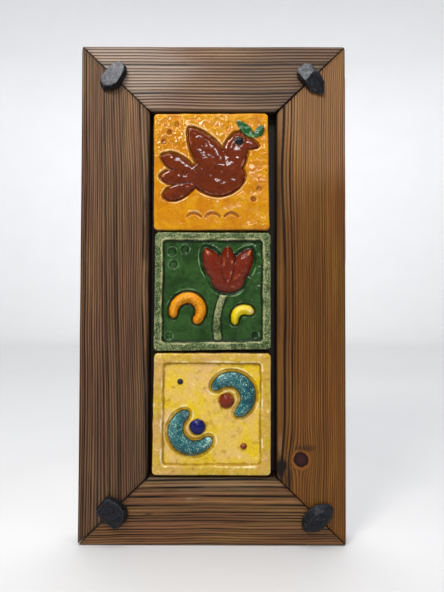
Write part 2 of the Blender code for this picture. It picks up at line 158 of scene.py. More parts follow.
def value_noise(across, up, size, seed):
    """Smooth noise from -1 to 1 with lumps of about the given size."""
    lattice = np.random.default_rng(seed).uniform(-1, 1, (257, 257))
    column, row = across / size + 128.0, up / size + 128.0
    i, j = np.floor(column).astype(int) % 256, np.floor(row).astype(int) % 256
    p, q = column - np.floor(column), row - np.floor(row)
    p, q = p * p * (3 - 2 * p), q * q * (3 - 2 * q)
    low = lattice[i, j] * (1 - p) + lattice[i + 1, j] * p
    high = lattice[i, j + 1] * (1 - p) + lattice[i + 1, j + 1] * p
    return low * (1 - q) + high * q


def make_piece(name, points, faces, fields, material):
    """A closed mesh with its faces pointing out and a value of each field at every point."""
    mesh = bpy.data.meshes.new(name)
    mesh.from_pydata(points.tolist(), [], faces)
    for field, values in fields.items():
        flat = np.asarray(values, np.float32)
        kind, place = ('FLOAT_VECTOR', "vector") if flat.ndim == 2 else ('FLOAT', "value")
        mesh.attributes.new(field, kind, 'POINT').data.foreach_set(place, flat.ravel())
    shape = bmesh.new()
    shape.from_mesh(mesh)
    bmesh.ops.recalc_face_normals(shape, faces=shape.faces)
    shape.to_mesh(mesh)
    shape.free()
    mesh.shade_smooth()
    mesh.materials.append(material)
    piece = add_object(name, mesh)
    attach(piece, "root")
    return piece


def grown_rings(across, spacing, bold_at, contrast, seed):
    """Counts growth rings across the board. Spacing gives their width at distances from the outer
    edge. Each ring has a width, a tone and a boldness of its own, and a few are the boldest."""
    chance = np.random.default_rng(seed)
    edges = [-WOOD_MARGIN]
    places, widths = zip(*spacing)
    while edges[-1] < across.max() + WOOD_MARGIN:
        width = np.interp(edges[-1] / MM, places, widths) * MM
        edges.append(edges[-1] + width * chance.uniform(0.76, 1.26))
    ring = np.interp(across, edges, np.arange(len(edges)))
    tones = chance.uniform(0.0, 1.0, len(edges) + 1)
    bold = contrast * chance.uniform(0.0, 1.0, len(edges) + 1) ** 1.6
    for distance in bold_at:
        bold[np.searchsorted(edges, distance * MM) - 1] = 1.0
    tones[bold == 1.0] *= 0.4
    number = np.floor(ring).astype(int)
    return ring, tones[number], bold[number]


def brushed_away(ring, tone):
    """How much of the brushing depth is gone at a place in its ring: most in the early wood."""
    place = ring - np.floor(ring)
    hard = smoothstep(0.45, 0.84, place) * (1 - smoothstep(0.95, 1.0, place))
    return (1 - hard) * (0.65 + 0.35 * tone)


def board_section(width, thickness):
    """The board's section as rows of: distance inwards from the outer edge, y, the outward normal
    in those two directions, distance across the wood, and how far it was brushed."""
    rows = []
    for depth in np.arange(0.0, thickness - OUTER_ARRIS, SIDE_STEP):
        rows.append((0.0, -depth, -1.0, 0.0, depth - thickness, 0.35))
    for turn in np.linspace(0.0, pi / 2, 6):
        rows.append((OUTER_ARRIS * (1 - cos(turn)), -thickness + OUTER_ARRIS * (1 - sin(turn)),
                     -cos(turn), -sin(turn), OUTER_ARRIS * (1 - cos(turn)), 0.6))
    count = ceil((width - OUTER_ARRIS - INNER_ARRIS) / ACROSS_STEP)
    for inwards in np.linspace(OUTER_ARRIS, width - INNER_ARRIS, count)[1:-1]:
        rows.append((inwards, -thickness, 0.0, -1.0, inwards, 1.0))
    for turn in np.linspace(0.0, pi / 2, 8):
        rows.append((width - INNER_ARRIS * (1 - sin(turn)), -thickness + INNER_ARRIS * (1 - cos(turn)),
                     sin(turn), -cos(turn), width - INNER_ARRIS * (1 - sin(turn)), 0.7))
    for depth in np.arange(thickness - INNER_ARRIS - SIDE_STEP, REBATE_DEPTH, -SIDE_STEP):
        rows.append((width, -depth, 1.0, 0.0, width + thickness - depth, 0.35))
    rows.append((width, -REBATE_DEPTH, 0.7, 0.7, width + thickness - REBATE_DEPTH, 0.0))
    rows.append((width - REBATE_LEDGE, -REBATE_DEPTH, 0.0, 1.0, width - REBATE_LEDGE, 0.0))
    for inwards in np.arange(width - REBATE_LEDGE, 0.0, -SIDE_STEP):
        rows.append((inwards, 0.0, 0.0, 1.0, inwards, 0.0))
    return np.array(rows)


def make_board(name, corners, place, spacing, bold_at, contrast, lean, seed, material, knots=(), smudges=()):
    """One board, from mitre to mitre. Place turns distances along the board, y and inwards from the outer
    edge into the frame's own space. Spacing is the rings' width in mm at distances in mm from the outer edge,
    and bold_at is where the boldest lie. Lean is how many mm the rings drift inwards from the board's one end
    to the other. Knots are a place, a radius, in mm, and how long the eye is. Smudges are stains, or worn
    places where negative, and the broad ones are painted shade where positive and painted sheen where
    negative: a place, the two half sizes, in mm, and the strength."""
    rail = name.endswith("rail")
    width = RAIL_WIDTH if rail else STILE_WIDTH
    length = FRAME_WIDTH if rail else FRAME_HEIGHT
    section = board_section(width, BOARD_THICKNESS)
    inwards, depth, normal_in, normal_depth, across, brushed = section.T
    share_in = inwards / width
    reach = []
    for corner in corners:
        outer, inner = MITRE_OPENING[corner]
        mitre = share_in * (STILE_WIDTH if rail else RAIL_WIDTH)
        reach.append(length / 2 - mitre - outer - (inner - outer) * share_in)
    shortest = (reach[0] + reach[1]).min()
    ease = np.array([0.0, 0.12, 0.3, 0.6, 1.0]) * MITRE_EASE / shortest
    middle = np.linspace(1.5 * MITRE_EASE / shortest, 1 - 1.5 * MITRE_EASE / shortest,
                         ceil(shortest / (ALONG_STEP if not knots else 0.45 * ALONG_STEP)))
    rows = np.concatenate([ease, middle, 1 - ease[::-1]])
    along = -reach[0][None, :] + rows[:, None] * (reach[0] + reach[1])[None, :]
    from_end = np.minimum(along + reach[0], reach[1] - along)
    shape = along.shape
    across = np.broadcast_to(across, shape)

    # The rings wander a little along the board and part round the knots
    drift = 1.1 * MM * value_noise(along, across * 0 + seed, 110 * MM, seed)
    drift += 0.5 * MM * value_noise(along, 0.5 * across, 34 * MM, seed + 1)
    drift += 1.2 * MM * value_noise(along, across, 52 * MM, seed + 2) * smoothstep(0.45, 0.9, across / width)
    wood_across = across + drift + lean * MM * (along / length) * smoothstep(0.1, 0.5, across / width)
    knot = np.full(shape, FAR_FROM_KNOTS)
    for *sizes, stretch in knots:
        knot_in, knot_along, knot_radius = (size * MM for size in sizes)
        to_side = wood_across - knot_in
        to_end = (along - knot_along) / stretch
        gap = to_side ** 2 + to_end ** 2 + 1e-9
        wood_across = knot_in + to_side * np.maximum(0.0, 1 - 0.55 * knot_radius ** 2 / gap)
        eye = np.hypot(across - knot_in, 0.92 * (along - knot_along)) / knot_radius
        eye *= 1 + 0.09 * value_noise(across, along, 4.5 * MM, seed + 6)
        knot = np.minimum(knot, eye)
    ring, tone, bold = (field.reshape(shape)
                        for field in grown_rings(wood_across.ravel(), spacing, bold_at, contrast, seed))
    # Broad stain smudges are painted shade and broad worn ones painted sheen; the small ones are real marks
    stain_and_shade, wear_and_sheen = np.zeros(shape), np.zeros(shape)
    for *sizes, strength in smudges:
        smudge_in, smudge_along, half_in, half_along = (size * MM for size in sizes)
        from_middle = np.hypot((across - smudge_in) / half_in, (along - smudge_along) / half_along)
        from_middle += 0.3 * value_noise(across, 0.4 * along, max(3 * MM, 0.5 * half_in), seed + 5)
        share = 1 - smoothstep(0.35, 1.25, from_middle)
        stain_and_shade += max(strength, 0.0) * share
        wear_and_sheen += max(-strength, 0.0) * share

    # Brushing, the knot's hard crown, and the eased ends at the mitres
    sunk = BRUSHED_DEPTH * brushed_away(ring, tone) * brushed
    sunk *= smoothstep(0.75, 1.6, knot)
    near_end = np.clip(1 - from_end / MITRE_EASE, 0.0, 1.0)
    sunk += MITRE_EASE * (1 - np.sqrt(1 - near_end ** 2)) * (brushed > 0.5)
    inwards = inwards - normal_in * sunk
    depth = depth - normal_depth * sunk

    # The frame's outer corners were rounded off after it was put together
    short_along = np.maximum(CORNER_ROUNDING - (length / 2 - np.abs(along)), 0.0)
    short_in = np.maximum(CORNER_ROUNDING - inwards, 0.0)
    excess = np.maximum(np.hypot(short_along, short_in) / CORNER_ROUNDING, 1.0)
    along = np.sign(along) * (np.abs(along) - short_along * (1 - 1 / excess))
    inwards = inwards + short_in * (1 - 1 / excess)
    points = place(along, depth, inwards).reshape(-1, 3)

    rows_count, columns = shape
    index = np.arange(rows_count * columns).reshape(shape)
    ahead = np.roll(index, -1, axis=1)
    faces = np.stack([index[:-1], ahead[:-1], ahead[1:], index[1:]], -1).reshape(-1, 4).tolist()
    faces.append(index[0, ::-1].tolist())
    faces.append(index[-1].tolist())
    inner_gap = np.abs(width - np.broadcast_to(section[:, 0], shape)) / MM
    scorch = np.exp(-inner_gap / 1.6) + 0.6 * np.exp(-from_end / MM / 1.2)
    fields = {
        "ring": ring.ravel(),
        "tone": tone.ravel(),
        "bold": bold.ravel(),
        "stain_and_shade": stain_and_shade.ravel(),
        "wear_and_sheen": wear_and_sheen.ravel(),
        "knot": knot.ravel(),
        "scorch": np.clip(scorch, 0, 1).ravel(),
        "brushed": np.broadcast_to(brushed, shape).ravel(),
        "grain": np.stack([across.ravel(), along.ravel(), np.full(along.size, seed * 0.01)], -1),
    }
    piece = make_piece(name + "_board", points, faces, fields, material)
    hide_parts(name)


def softwood(name, golden, red, grey, pale, late, uneven, roughness, shine):
    """Scorched and brushed softwood under oil: golden to reddish early wood between dark late-wood lines,
    long streaks along the grain, painted shade in the brushed grooves, and a painted dull grey sheen on the
    rise to each hard ring."""
    material, tree, shader = new_material(name)
    ring, tone, bold, stain_and_shade, wear_and_sheen, knot, scorch, brushed = (
        add(tree, "Attribute", attribute_name=field, out="Fac")
        for field in ("ring", "tone", "bold", "stain_and_shade", "wear_and_sheen", "knot", "scorch", "brushed"))
    in_ring = add(tree, "Math", {0: ring}, operation='FRACT')

    # Stain and oil took unevenly: patches 14 mm by 90 mm, bands, streaks 0.9 mm wide, and pores.
    # The dark lines fade in and out along the board
    grain = add(tree, "Attribute", attribute_name="grain", out="Vector")
    marks = []
    for width, length, detail in ((14, 90, 2.0), (4.5, 110, 2.0), (0.9, 70, 3.0), (0.3, 9, 2.0),
                                  (2.4, 46, 1.0)):
        stretched = add(tree, "VectorMath", {0: grain, 1: (1 / (width * MM), 1 / (length * MM), 1.0)},
                        operation='MULTIPLY')
        marks.append(add(tree, "TexNoise", {"Vector": stretched, "Scale": 1.0, "Detail": detail}))
    patches, bands, streaks, pores, fading = marks
    hue = add(tree, "MapRange", {0: patches, 1: 0.36, 2: 0.64, 4: 0.75})
    hue = add(tree, "Math", {0: tone, 1: 0.25, 2: hue}, operation='MULTIPLY_ADD')
    early = add(tree, "Mix", {0: hue, 6: golden, 7: red}, out=2, data_type='RGBA')
    # Painted shade and highlight: the sunk early wood is darker and the rise to the hard ridge lighter, with
    # some scorch left in the grooves
    crest = add(tree, "ValToRGB", {0: in_ring}, stops=(
        (0.0, "#b0b0b0"), (0.12, "#b4b4b4"), (0.35, "#dcdcdc"), (0.55, "#ffffff"), (1.0, "#ffffff")))
    early = add(tree, "VectorMath", {0: early, 1: crest}, operation='MULTIPLY')
    shade = 1.42
    for mark, low, high, darkest, lightest in (
            (streaks, 0.3, 0.7, 0.74, 1.28), (pores, 0.25, 0.75, 0.86, 1.12),
            (tone, 0.0, 1.0, 0.84, 1.14), (bands, 0.3, 0.7, 1 - uneven, 1 + uneven)):
        ranged = add(tree, "MapRange", {0: mark, 1: low, 2: high, 3: darkest, 4: lightest})
        shade = add(tree, "Math", {0: shade, 1: ranged}, operation='MULTIPLY')
    early = add(tree, "VectorMath", {0: early, 1: shade}, operation='MULTIPLY')

    # Painted sheen: ahead of each line the oiled ridge is painted a lighter grey, standing in for the light
    # it catches
    sheen = add(tree, "ValToRGB", {0: in_ring}, stops=(
        (0.0, "#505050"), (0.08, "#101010"), (0.3, "#000000"), (0.5, "#c0c0c0"), (0.64, "#c0c0c0"),
        (0.76, "#000000")))
    broken = add(tree, "MapRange", {0: streaks, 1: 0.35, 2: 0.65, 3: 0.3, 4: 0.95})
    sheen = add(tree, "Math", {0: sheen, 1: broken}, operation='MULTIPLY')
    early = add(tree, "Mix", {0: sheen, 6: early, 7: grey}, out=2, data_type='RGBA')

    # Worn early wood is bleached toward the pale colour, and the same field carries painted sheen: broad
    # patches painted paler where light glances off the oil
    bleached_and_sheen = add(tree, "MapRange", {0: wear_and_sheen, 4: 0.95})
    early = add(tree, "Mix", {0: bleached_and_sheen, 6: early, 7: pale}, out=2, data_type='RGBA')

    # The late wood darkens towards the end of its ring, and the boldest rings are wide and nearly
    # black
    in_line = add(tree, "Math", {0: bold, 1: 0.24, 2: in_ring}, operation='MULTIPLY_ADD')
    line = add(tree, "ValToRGB", {0: in_line}, stops=(
        (0.0, "#e0e0e0"), (0.10, "#404040"), (0.22, "#000000"), (0.56, "#000000"), (0.74, "#f0f0f0"),
        (1.0, "#ffffff")))
    for mark, low, high, weakest in ((bold, 0.0, 0.6, 0.64), (fading, 0.36, 0.56, 1 - 1.2 * uneven)):
        strength = add(tree, "MapRange", {0: mark, 1: low, 2: high, 3: weakest, 4: 1.0})
        line = add(tree, "Math", {0: line, 1: strength}, operation='MULTIPLY')
    wood = add(tree, "Mix", {0: line, 6: early, 7: late}, out=2, data_type='RGBA')
    # Worn places and the painted sheen also lighten the wood
    lighter = add(tree, "MapRange", {0: wear_and_sheen, 2: 0.4, 3: 1.0, 4: 1.15})
    wood = add(tree, "VectorMath", {0: wood, 1: lighter}, operation='MULTIPLY')

    # The back was planed and left with a thin stain
    on_face = add(tree, "MapRange", {0: brushed, 2: 0.35})
    planed = add(tree, "Mix", {0: 0.7, 6: wood, 7: "#7c6040"}, out=2, data_type='RGBA')
    wood = add(tree, "Mix", {0: on_face, 6: planed, 7: wood}, out=2, data_type='RGBA')

    # A knot is a dark red-brown eye in an orange collar
    ragged = add(tree, "MapRange", {0: pores, 1: 0.3, 2: 0.7, 3: -0.08, 4: 0.08})
    ragged = add(tree, "Math", {0: ragged, 1: knot}, operation='ADD')
    half = add(tree, "Math", {0: ragged, 1: 0.5}, operation='MULTIPLY')
    eye = add(tree, "ValToRGB", {0: half}, stops=(
        (0.0, "#3a1e18"), (0.30, "#2e1512"), (0.47, "#140806"), (0.53, "#84501f"), (0.66, "#7c4a1e"),
        (0.76, "#3c210e")))
    knotted = add(tree, "MapRange", {0: ragged, 1: 1.2, 2: 1.6, 3: 1.0, 4: 0.0})
    wood = add(tree, "Mix", {0: knotted, 6: wood, 7: eye}, out=2, data_type='RGBA')

    # Stains and the painted shade of the broad stain smudges, and the scorch that was left in the corners,
    # both broken by the streaks
    for mark, low, high, weakest, black in (
            (stain_and_shade, 0.3, 0.7, 0.55, "#15110f"), (scorch, 0.35, 0.65, 0.75, "#140d09")):
        broken = add(tree, "MapRange", {0: streaks, 1: low, 2: high, 3: weakest, 4: 1.0})
        share = add(tree, "Math", {0: mark, 1: broken}, operation='MULTIPLY')
        wood = add(tree, "Mix", {0: share, 6: wood, 7: black}, out=2, data_type='RGBA')

    # The bump carries the same rings and fibres that the mesh is too coarse for
    hard = add(tree, "ValToRGB", {0: in_ring}, stops=(
        (0.0, "#606060"), (0.06, "#000000"), (0.45, "#202020"), (0.84, "#ffffff"), (1.0, "#ffffff")))
    height = add(tree, "Math", {0: hard, 1: 0.6, 2: streaks}, operation='MULTIPLY_ADD')
    height = add(tree, "Math", {0: pores, 1: 0.5, 2: height}, operation='MULTIPLY_ADD')
    bump = add(tree, "Bump", {"Height": height, "Strength": 0.6, "Distance": 0.2 * MM})
    rough = add(tree, "MapRange", {0: streaks, 1: 0.3, 2: 0.7, 3: roughness - 0.06, 4: roughness + 0.1})
    feed(tree, shader, {"Base Color": wood, "Normal": bump, "Roughness": rough, "Specular IOR Level": shine})
    return material


left_low, left_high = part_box("left_stile")
right_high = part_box("right_stile")[1]
top_low, top_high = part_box("top_rail")
bottom_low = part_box("bottom_rail")[0]
STILE_WIDTH = left_high.x - left_low.x
RAIL_WIDTH = top_high.z - top_low.z
BOARD_THICKNESS = top_high.y - top_low.y
FRAME_WIDTH = right_high.x - left_low.x
FRAME_HEIGHT = top_high.z - bottom_low.z


def on_top_rail(along, depth, inwards):
    return np.stack([along, depth, top_high.z - inwards], -1)


def on_bottom_rail(along, depth, inwards):
    return np.stack([along, depth, bottom_low.z + inwards], -1)


def on_left_stile(along, depth, inwards):
    return np.stack([left_low.x + inwards, depth, FACE_CENTRE.z + along], -1)


def on_right_stile(along, depth, inwards):
    return np.stack([right_high.x - inwards, depth, FACE_CENTRE.z + along], -1)


# The finest rings of the real boards are 1.5 mm wide, and are drawn a little coarser here to show
make_board(
    "top_rail", ("top_left", "top_right"), on_top_rail,
    spacing=((0, 2.3), (18, 2.6), (56, 2.9)), bold_at=(14, 41), contrast=0.45, lean=0, seed=11,
    material=softwood("top_rail_softwood", "#80603e", "#704e37", "#90867a", "#938a80", "#1a110b",
                      uneven=0.14, roughness=0.42, shine=0.24),
    # Painted sheen: the left half is paler. Painted shade: the right end is darker.
    smudges=((18, -78, 40, 62, -0.42), (30, 66, 60, 60, 0.42)))
make_board(
    "bottom_rail", ("bottom_left", "bottom_right"), on_bottom_rail,
    spacing=((0, 1.9), (22, 2.2), (32, 3.0), (56, 3.8)), bold_at=(8, 20, 31, 40, 46, 52),
    contrast=0.85, lean=0, seed=23,
    material=softwood("bottom_rail_softwood", "#8a6436", "#774d30", "#8a765f", "#948468", "#0c0705",
                      uneven=0.26, roughness=0.46, shine=0.16),
    smudges=((26, -54, 1.2, 3.5, 0.9), (38, -18, 2.0, 5, -0.7), (4, -64, 2.5, 4, 0.7), (52, 0, 9, 60, -0.3)))
make_board(
    "left_stile", ("bottom_left", "top_left"), on_left_stile,
    spacing=((0, 2.1), (20, 1.9), (26, 2.8), (36, 2.0), (50, 1.9), (58, 3.2)), bold_at=(3, 22, 32, 53),
    contrast=0.55, lean=11, seed=37,
    material=softwood("left_stile_softwood", "#745534", "#62402c", "#84705e", "#948468", "#0c0807",
                      uneven=0.26, roughness=0.46, shine=0.16),
    # The last smudge is painted shade: the lower half is darker.
    smudges=((57, 60, 3.2, 60, 0.75), (57.5, -70, 2.4, 40, 0.6), (28, -130, 60, 110, 0.2)))
make_board(
    "right_stile", ("bottom_right", "top_right"), on_right_stile,
    spacing=((0, 1.75), (36, 1.85), (43, 2.6), (48, 3.0), (51, 9.0), (58, 9.0)), bold_at=(44, 49.5),
    contrast=0.3, lean=0, seed=41,
    material=softwood("right_stile_softwood", "#80561f", "#70431b", "#866032", "#8c6b4c", "#180c06",
                      uneven=0.12, roughness=0.46, shine=0.14),
    knots=((38.0, -139.5, 6.2, 1.5),),
    # The smudge at the top is painted sheen, paler, and the last one painted shade, darker through the
    # middle.
    smudges=((54, -146, 4.2, 8.5, 1.6), (33, -130, 9, 3, 0.7), (48.5, -157, 3, 11, 0.8),
             (56.5, 40, 1.6, 120, 0.5), (55.5, -128, 3, 11, -0.5), (30, 150, 50, 70, -0.5),
             (30, 20, 60, 90, 0.16)))


# Back board
# A thin sheet of plywood let into the rebate from behind, stained dark on its front, where it is
# seen through the slots beside the tiles, and left with a thin brown stain behind.

def plywood(name):
    """Rotary-cut veneer under a thin stain: long soft cathedral grain, short pores, dull."""
    material, tree, shader = new_material(name)
    place = add(tree, "TexCoord", out="Object")
    marks = []
    for width, length, distortion in ((40, 340, 0.3), (0.4, 6, 0.0)):
        stretched = add(tree, "VectorMath", {0: place, 1: (1 / (width * MM), 1.0, 1 / (length * MM))},
                        operation='MULTIPLY')
        marks.append(add(tree, "TexNoise", {"Vector": stretched, "Scale": 1.0, "Detail": 2.0,
                                            "Distortion": distortion}))
    veneer, pores = marks
    rings = add(tree, "Math", {0: veneer, 1: 13.0}, operation='MULTIPLY')
    rings = add(tree, "Math", {0: rings}, operation='FRACT')
    wood = add(tree, "ValToRGB", {0: rings}, stops=(
        (0.0, "#6f5036"), (0.5, "#7a5a3c"), (0.9, "#624730"), (1.0, "#6f5036")))
    shade = add(tree, "MapRange", {0: pores, 1: 0.3, 2: 0.7, 3: 0.72, 4: 1.1})
    wood = add(tree, "VectorMath", {0: wood, 1: shade}, operation='MULTIPLY')
    front = add(tree, "SeparateXYZ", {0: place}, out="Y")
    front = add(tree, "Math", {0: front, 1: -3 * MM}, operation='LESS_THAN')
    wood = add(tree, "Mix", {0: front, 6: wood, 7: "#241812"}, out=2, data_type='RGBA')
    bump = add(tree, "Bump", {"Height": pores, "Strength": 0.3, "Distance": 0.1 * MM})
    feed(tree, shader, {"Base Color": wood, "Normal": bump, "Roughness": 0.72})
    return material


back_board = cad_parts["back_board"]
back_board.data.materials.clear()
back_board.data.materials.append(plywood("stained_back_plywood"))


# Relief tiles
# Three slabs of buff clay, pressed and modelled by hand, with figures laid on or left standing in
# a trench. They are dipped and painted with glossy glazes, which run thin and pale off every raised
# edge and pool darker in the hollows.

TILE_THICKNESS = 16.0 * MM
TILE_CORNER_RADIUS = 4.0 * MM
TILE_EDGE_ROUNDING = 2.4 * MM
TILE_BACK_CHAMFER = 0.6 * MM
TILE_END_GAP = 1.1 * MM
TILE_JOINTS = (1.1 * MM, 1.8 * MM, 0.0)
GRID = 280
FORM_REACH = 6.0
TRENCH_WIDTH = 1.5
FACE_PASSES = 2
LIFT_PASSES = 14

# Width, height and shift to the right, and how far the clay crept out of square at the top left,
# top right, bottom right and bottom left corner, in mm
TILES = {
    "tile_top": (98.7, 100.4, -1.6, ((-0.15, -0.2), (-0.75, 0.3), (0.75, 0.3), (0.15, -0.2))),
    "tile_middle": (99.3, 100.5, -0.2, ((0.4, 0.0), (-0.2, 0.0), (0.3, 1.0), (-0.4, -0.9))),
    "tile_bottom": (100.3, 103.1, -0.5, ((0.8, 0.0), (0.0, 0.0), (0.0, 0.0), (-0.6, 0.0))),
}


# Outlines of the figures, in hundredths of the tile's width from its middle

def disc(centre, radius):
    turns = np.linspace(0, 2 * pi, 48, endpoint=False)
    return np.stack([centre[0] + radius * np.cos(turns), centre[1] + radius * np.sin(turns)], -1)


def petal(root, tip, width, fullness=1.0, roundness=0.6):
    """A leaf, egg or feather along a straight line. Fullness above 1 moves its widest place to
    the tip, and roundness goes from 0.5, round ends, to 1, pointed ends."""
    root, tip = np.array(root, float), np.array(tip, float)
    line = tip - root
    side = np.array([-line[1], line[0]]) / hypot(*line)
    share = 0.5 - 0.5 * np.cos(np.linspace(0, pi, 40))
    half = 0.5 * width * np.sin(pi * share ** fullness) ** roundness
    middle = root + share[:, None] * line
    one, other = middle + half[:, None] * side, middle - half[:, None] * side
    return np.concatenate([one, other[-2:0:-1]])


def band(centre, radius, start, end, widths, growth=0.0):
    """A band with round ends along an arc from one angle to another, in degrees. Widths are its
    width at the start, the middle and the end, and growth opens the arc into a spiral."""
    even = np.linspace(0, 1, 70)
    share = even - np.sin(2 * pi * even) / (2 * pi) * 0.9
    angle = np.radians(start + (end - start) * share)
    reach = radius + growth * share
    width = (2 * (share - 0.5) * (share - 1) * widths[0] + 4 * share * (1 - share) * widths[1]
             + 2 * share * (share - 0.5) * widths[2])
    from_end = np.minimum(share, 1 - share) * abs(radians(end - start)) * radius / (0.5 * width)
    width = width * np.sqrt(1 - np.clip(1 - from_end, 0, 0.995) ** 2)
    sides = [np.stack([centre[0] + (reach + turn * width / 2) * np.cos(angle),
                       centre[1] + (reach + turn * width / 2) * np.sin(angle)], -1) for turn in (1, -1)]
    return np.concatenate([sides[0], sides[1][::-1]])


def moon(centre, radius, facing, thickness, spread):
    return band(centre, radius, facing + 180 - spread, facing + 180 + spread,
                (thickness / 2, thickness, thickness / 2))


def softened(heights, passes):
    """Heights blurred by a few passes over their neighbours."""
    for _ in range(passes):
        for axis in (0, 1):
            padded = np.pad(heights, [(1, 1) if axis == a else (0, 0) for a in (0, 1)], mode="edge")
            before, after = (padded[:-2], padded[2:]) if axis == 0 else (padded[:, :-2], padded[:, 2:])
            heights = 0.5 * heights + 0.25 * (before + after)
    return heights


class Clay:
    """One tile's face: heights over it in mm, and how much of each glaze lies at each place."""

    def __init__(self, name, seed):
        self.width, self.height = TILES[name][:2]
        self.seed = seed
        edge = TILE_EDGE_ROUNDING / MM * 100 / self.width
        self.half_u = 50.0 - edge
        self.half_v = 50.0 * self.height / self.width - edge
        self.u, self.v = np.meshgrid(np.linspace(-self.half_u, self.half_u, GRID),
                                     np.linspace(-self.half_v, self.half_v, GRID), indexing="ij")
        self.surface = np.zeros(self.u.shape)
        self.glazes = {}

    def noise(self, size, layer):
        return value_noise(self.u, self.v, size, self.seed * 31 + layer)

    def inside(self, outline):
        """Distance in from an outline, negative outside it."""
        low, high = outline.min(0) - FORM_REACH, outline.max(0) + FORM_REACH
        near = (self.u > low[0]) & (self.u < high[0]) & (self.v > low[1]) & (self.v < high[1])
        x, y = self.u[near], self.v[near]
        nearest = np.full(x.shape, FORM_REACH ** 2)
        within = np.zeros(x.shape, bool)
        for a, b in zip(outline, np.roll(outline, -1, axis=0)):
            run, rise = b - a
            along = np.clip(((x - a[0]) * run + (y - a[1]) * rise) / (run * run + rise * rise + 1e-12), 0, 1)
            nearest = np.minimum(nearest, (x - a[0] - along * run) ** 2 + (y - a[1] - along * rise) ** 2)
            crossed = (a[1] > y) != (b[1] > y)
            within ^= crossed & (x < a[0] + (y - a[1]) * run / (rise if rise else 1.0))
        distance = np.full(self.u.shape, -FORM_REACH)
        distance[near] = np.sqrt(nearest) * np.where(within, 1, -1)
        return distance

    def paint(self, glaze, inside, wobble=0.25):
        """Brushes a glaze over a form, and over whatever glaze lay there."""
        share = smoothstep(-0.35, 0.3, inside + wobble * self.noise(2.5, 5) + 0.15)
        for other in set(self.glazes) - {glaze}:
            self.glazes[other] = self.glazes[other] * (1 - share)
        self.glazes[glaze] = np.maximum(self.glazes.get(glaze, 0.0), share)

    def trench(self, outlines, floor, width=TRENCH_WIDTH):
        """Cuts the ground away round the forms, and leaves a low burr on the trench's edge."""
        inside = np.max([self.inside(outline) for outline in outlines], axis=0)
        out = -inside + 0.18 * self.noise(3.0, 6)
        wall = smoothstep(0.7 * width - 0.1, width + 0.5, out)
        sunk = floor + (self.surface - floor) * wall
        burr = 0.32 * np.exp(-((out - width - 0.9) / 0.6) ** 2) * (1 + 0.8 * self.noise(9.0, 14))
        self.surface = np.where(out < FORM_REACH - 1, np.minimum(self.surface, sunk) + burr, self.surface)
        return inside

    def dent(self, outline, depth=1.3):
        inside = self.inside(outline)
        self.surface -= depth * smoothstep(-0.4, 1.1, inside)
        self.surface += 0.18 * np.exp(-((inside + 0.8) / 0.5) ** 2)

    def raise_form(self, outline, root, top, glaze, shoulder=2.6, crown=0.3):
        """Lays a soft, round-shouldered form on the clay and paints it."""
        inside = self.inside(outline) + 0.15 * self.noise(4.0, 7)
        side = np.sqrt(1 - (1 - np.clip(inside / shoulder, 0, 1)) ** 2)
        swell = smoothstep(0, max(inside.max(), 1.0), inside)
        form = root + (top - root) * ((1 - crown) * side + crown * swell)
        self.surface = np.where(inside > 0, np.maximum(self.surface, form), self.surface)
        if glaze:
            self.paint(glaze, inside)
        return inside

    def sink_field(self, rim_width, ground, slope=1.1, radius=3.0):
        """Sinks the ground inside the rim, whose edge wanders as it was pressed by hand."""
        wander = 0.45 * self.noise(13.0, 8) + 0.2 * self.noise(4.0, 9)
        half_u = 50.0 - rim_width - slope
        half_v = 50.0 * self.height / self.width - rim_width - slope
        to_u, to_v = np.abs(self.u) - half_u + radius, np.abs(self.v) - half_v + radius
        outside = (np.hypot(np.maximum(to_u, 0), np.maximum(to_v, 0))
                   + np.minimum(np.maximum(to_u, to_v), 0) - radius)
        self.surface = self.surface + ground * smoothstep(-slope - 0.3, 0.4, -outside + wander)
        return outside - wander


def bird(clay):
    """A folk bird in a trench, with a raised wing, a fan of tail feathers and a sprig in its beak."""
    floor = -2.3
    body = petal((-22, -3), (29, -4), 35, 1.15, 0.55)
    neck = petal((11, -13), (26, 34), 22, 1.2, 0.5)
    beak = petal((25, 26), (41, 22), 9, 0.8, 0.8)
    wing = petal((13, -7), (-19, 38), 25, 0.9, 0.7)
    feathers = [petal((-10, -5 + 0.2 * up), (-44 + 0.006 * up * up, up), 13.5, 1.5, 0.6)
                for up in (14, -4, -22)]
    clay.trench([body, neck, beak, wing] + feathers, floor)
    for outline, top in zip([body, neck] + feathers + [beak, wing], (0.6, 0.8, 0.1, 0.2, 0.3, 0.2, 1.5)):
        clay.raise_form(outline, floor, top, "russet", shoulder=2.2, crown=0.2)
    clay.raise_form(disc((24, 26), 4.0), floor, 2.2, "black", shoulder=3.4)
    for tip, width in (((22, 44), 8), ((45.5, 40), 7.5)):
        clay.raise_form(petal((38, 29), tip, width, 1.0, 0.75), 0.0, 1.2, "leaf_green", shoulder=3.0)
    for place in ((-36, 34), (-41, 26), (-30, 41), (36, -24), (41, -15)):
        clay.dent(disc(place, 2.6))
    for across in (-15, 1, 17):
        clay.dent(band((across, -43), 7, 25, 155, (2.0, 3.0, 2.0)))


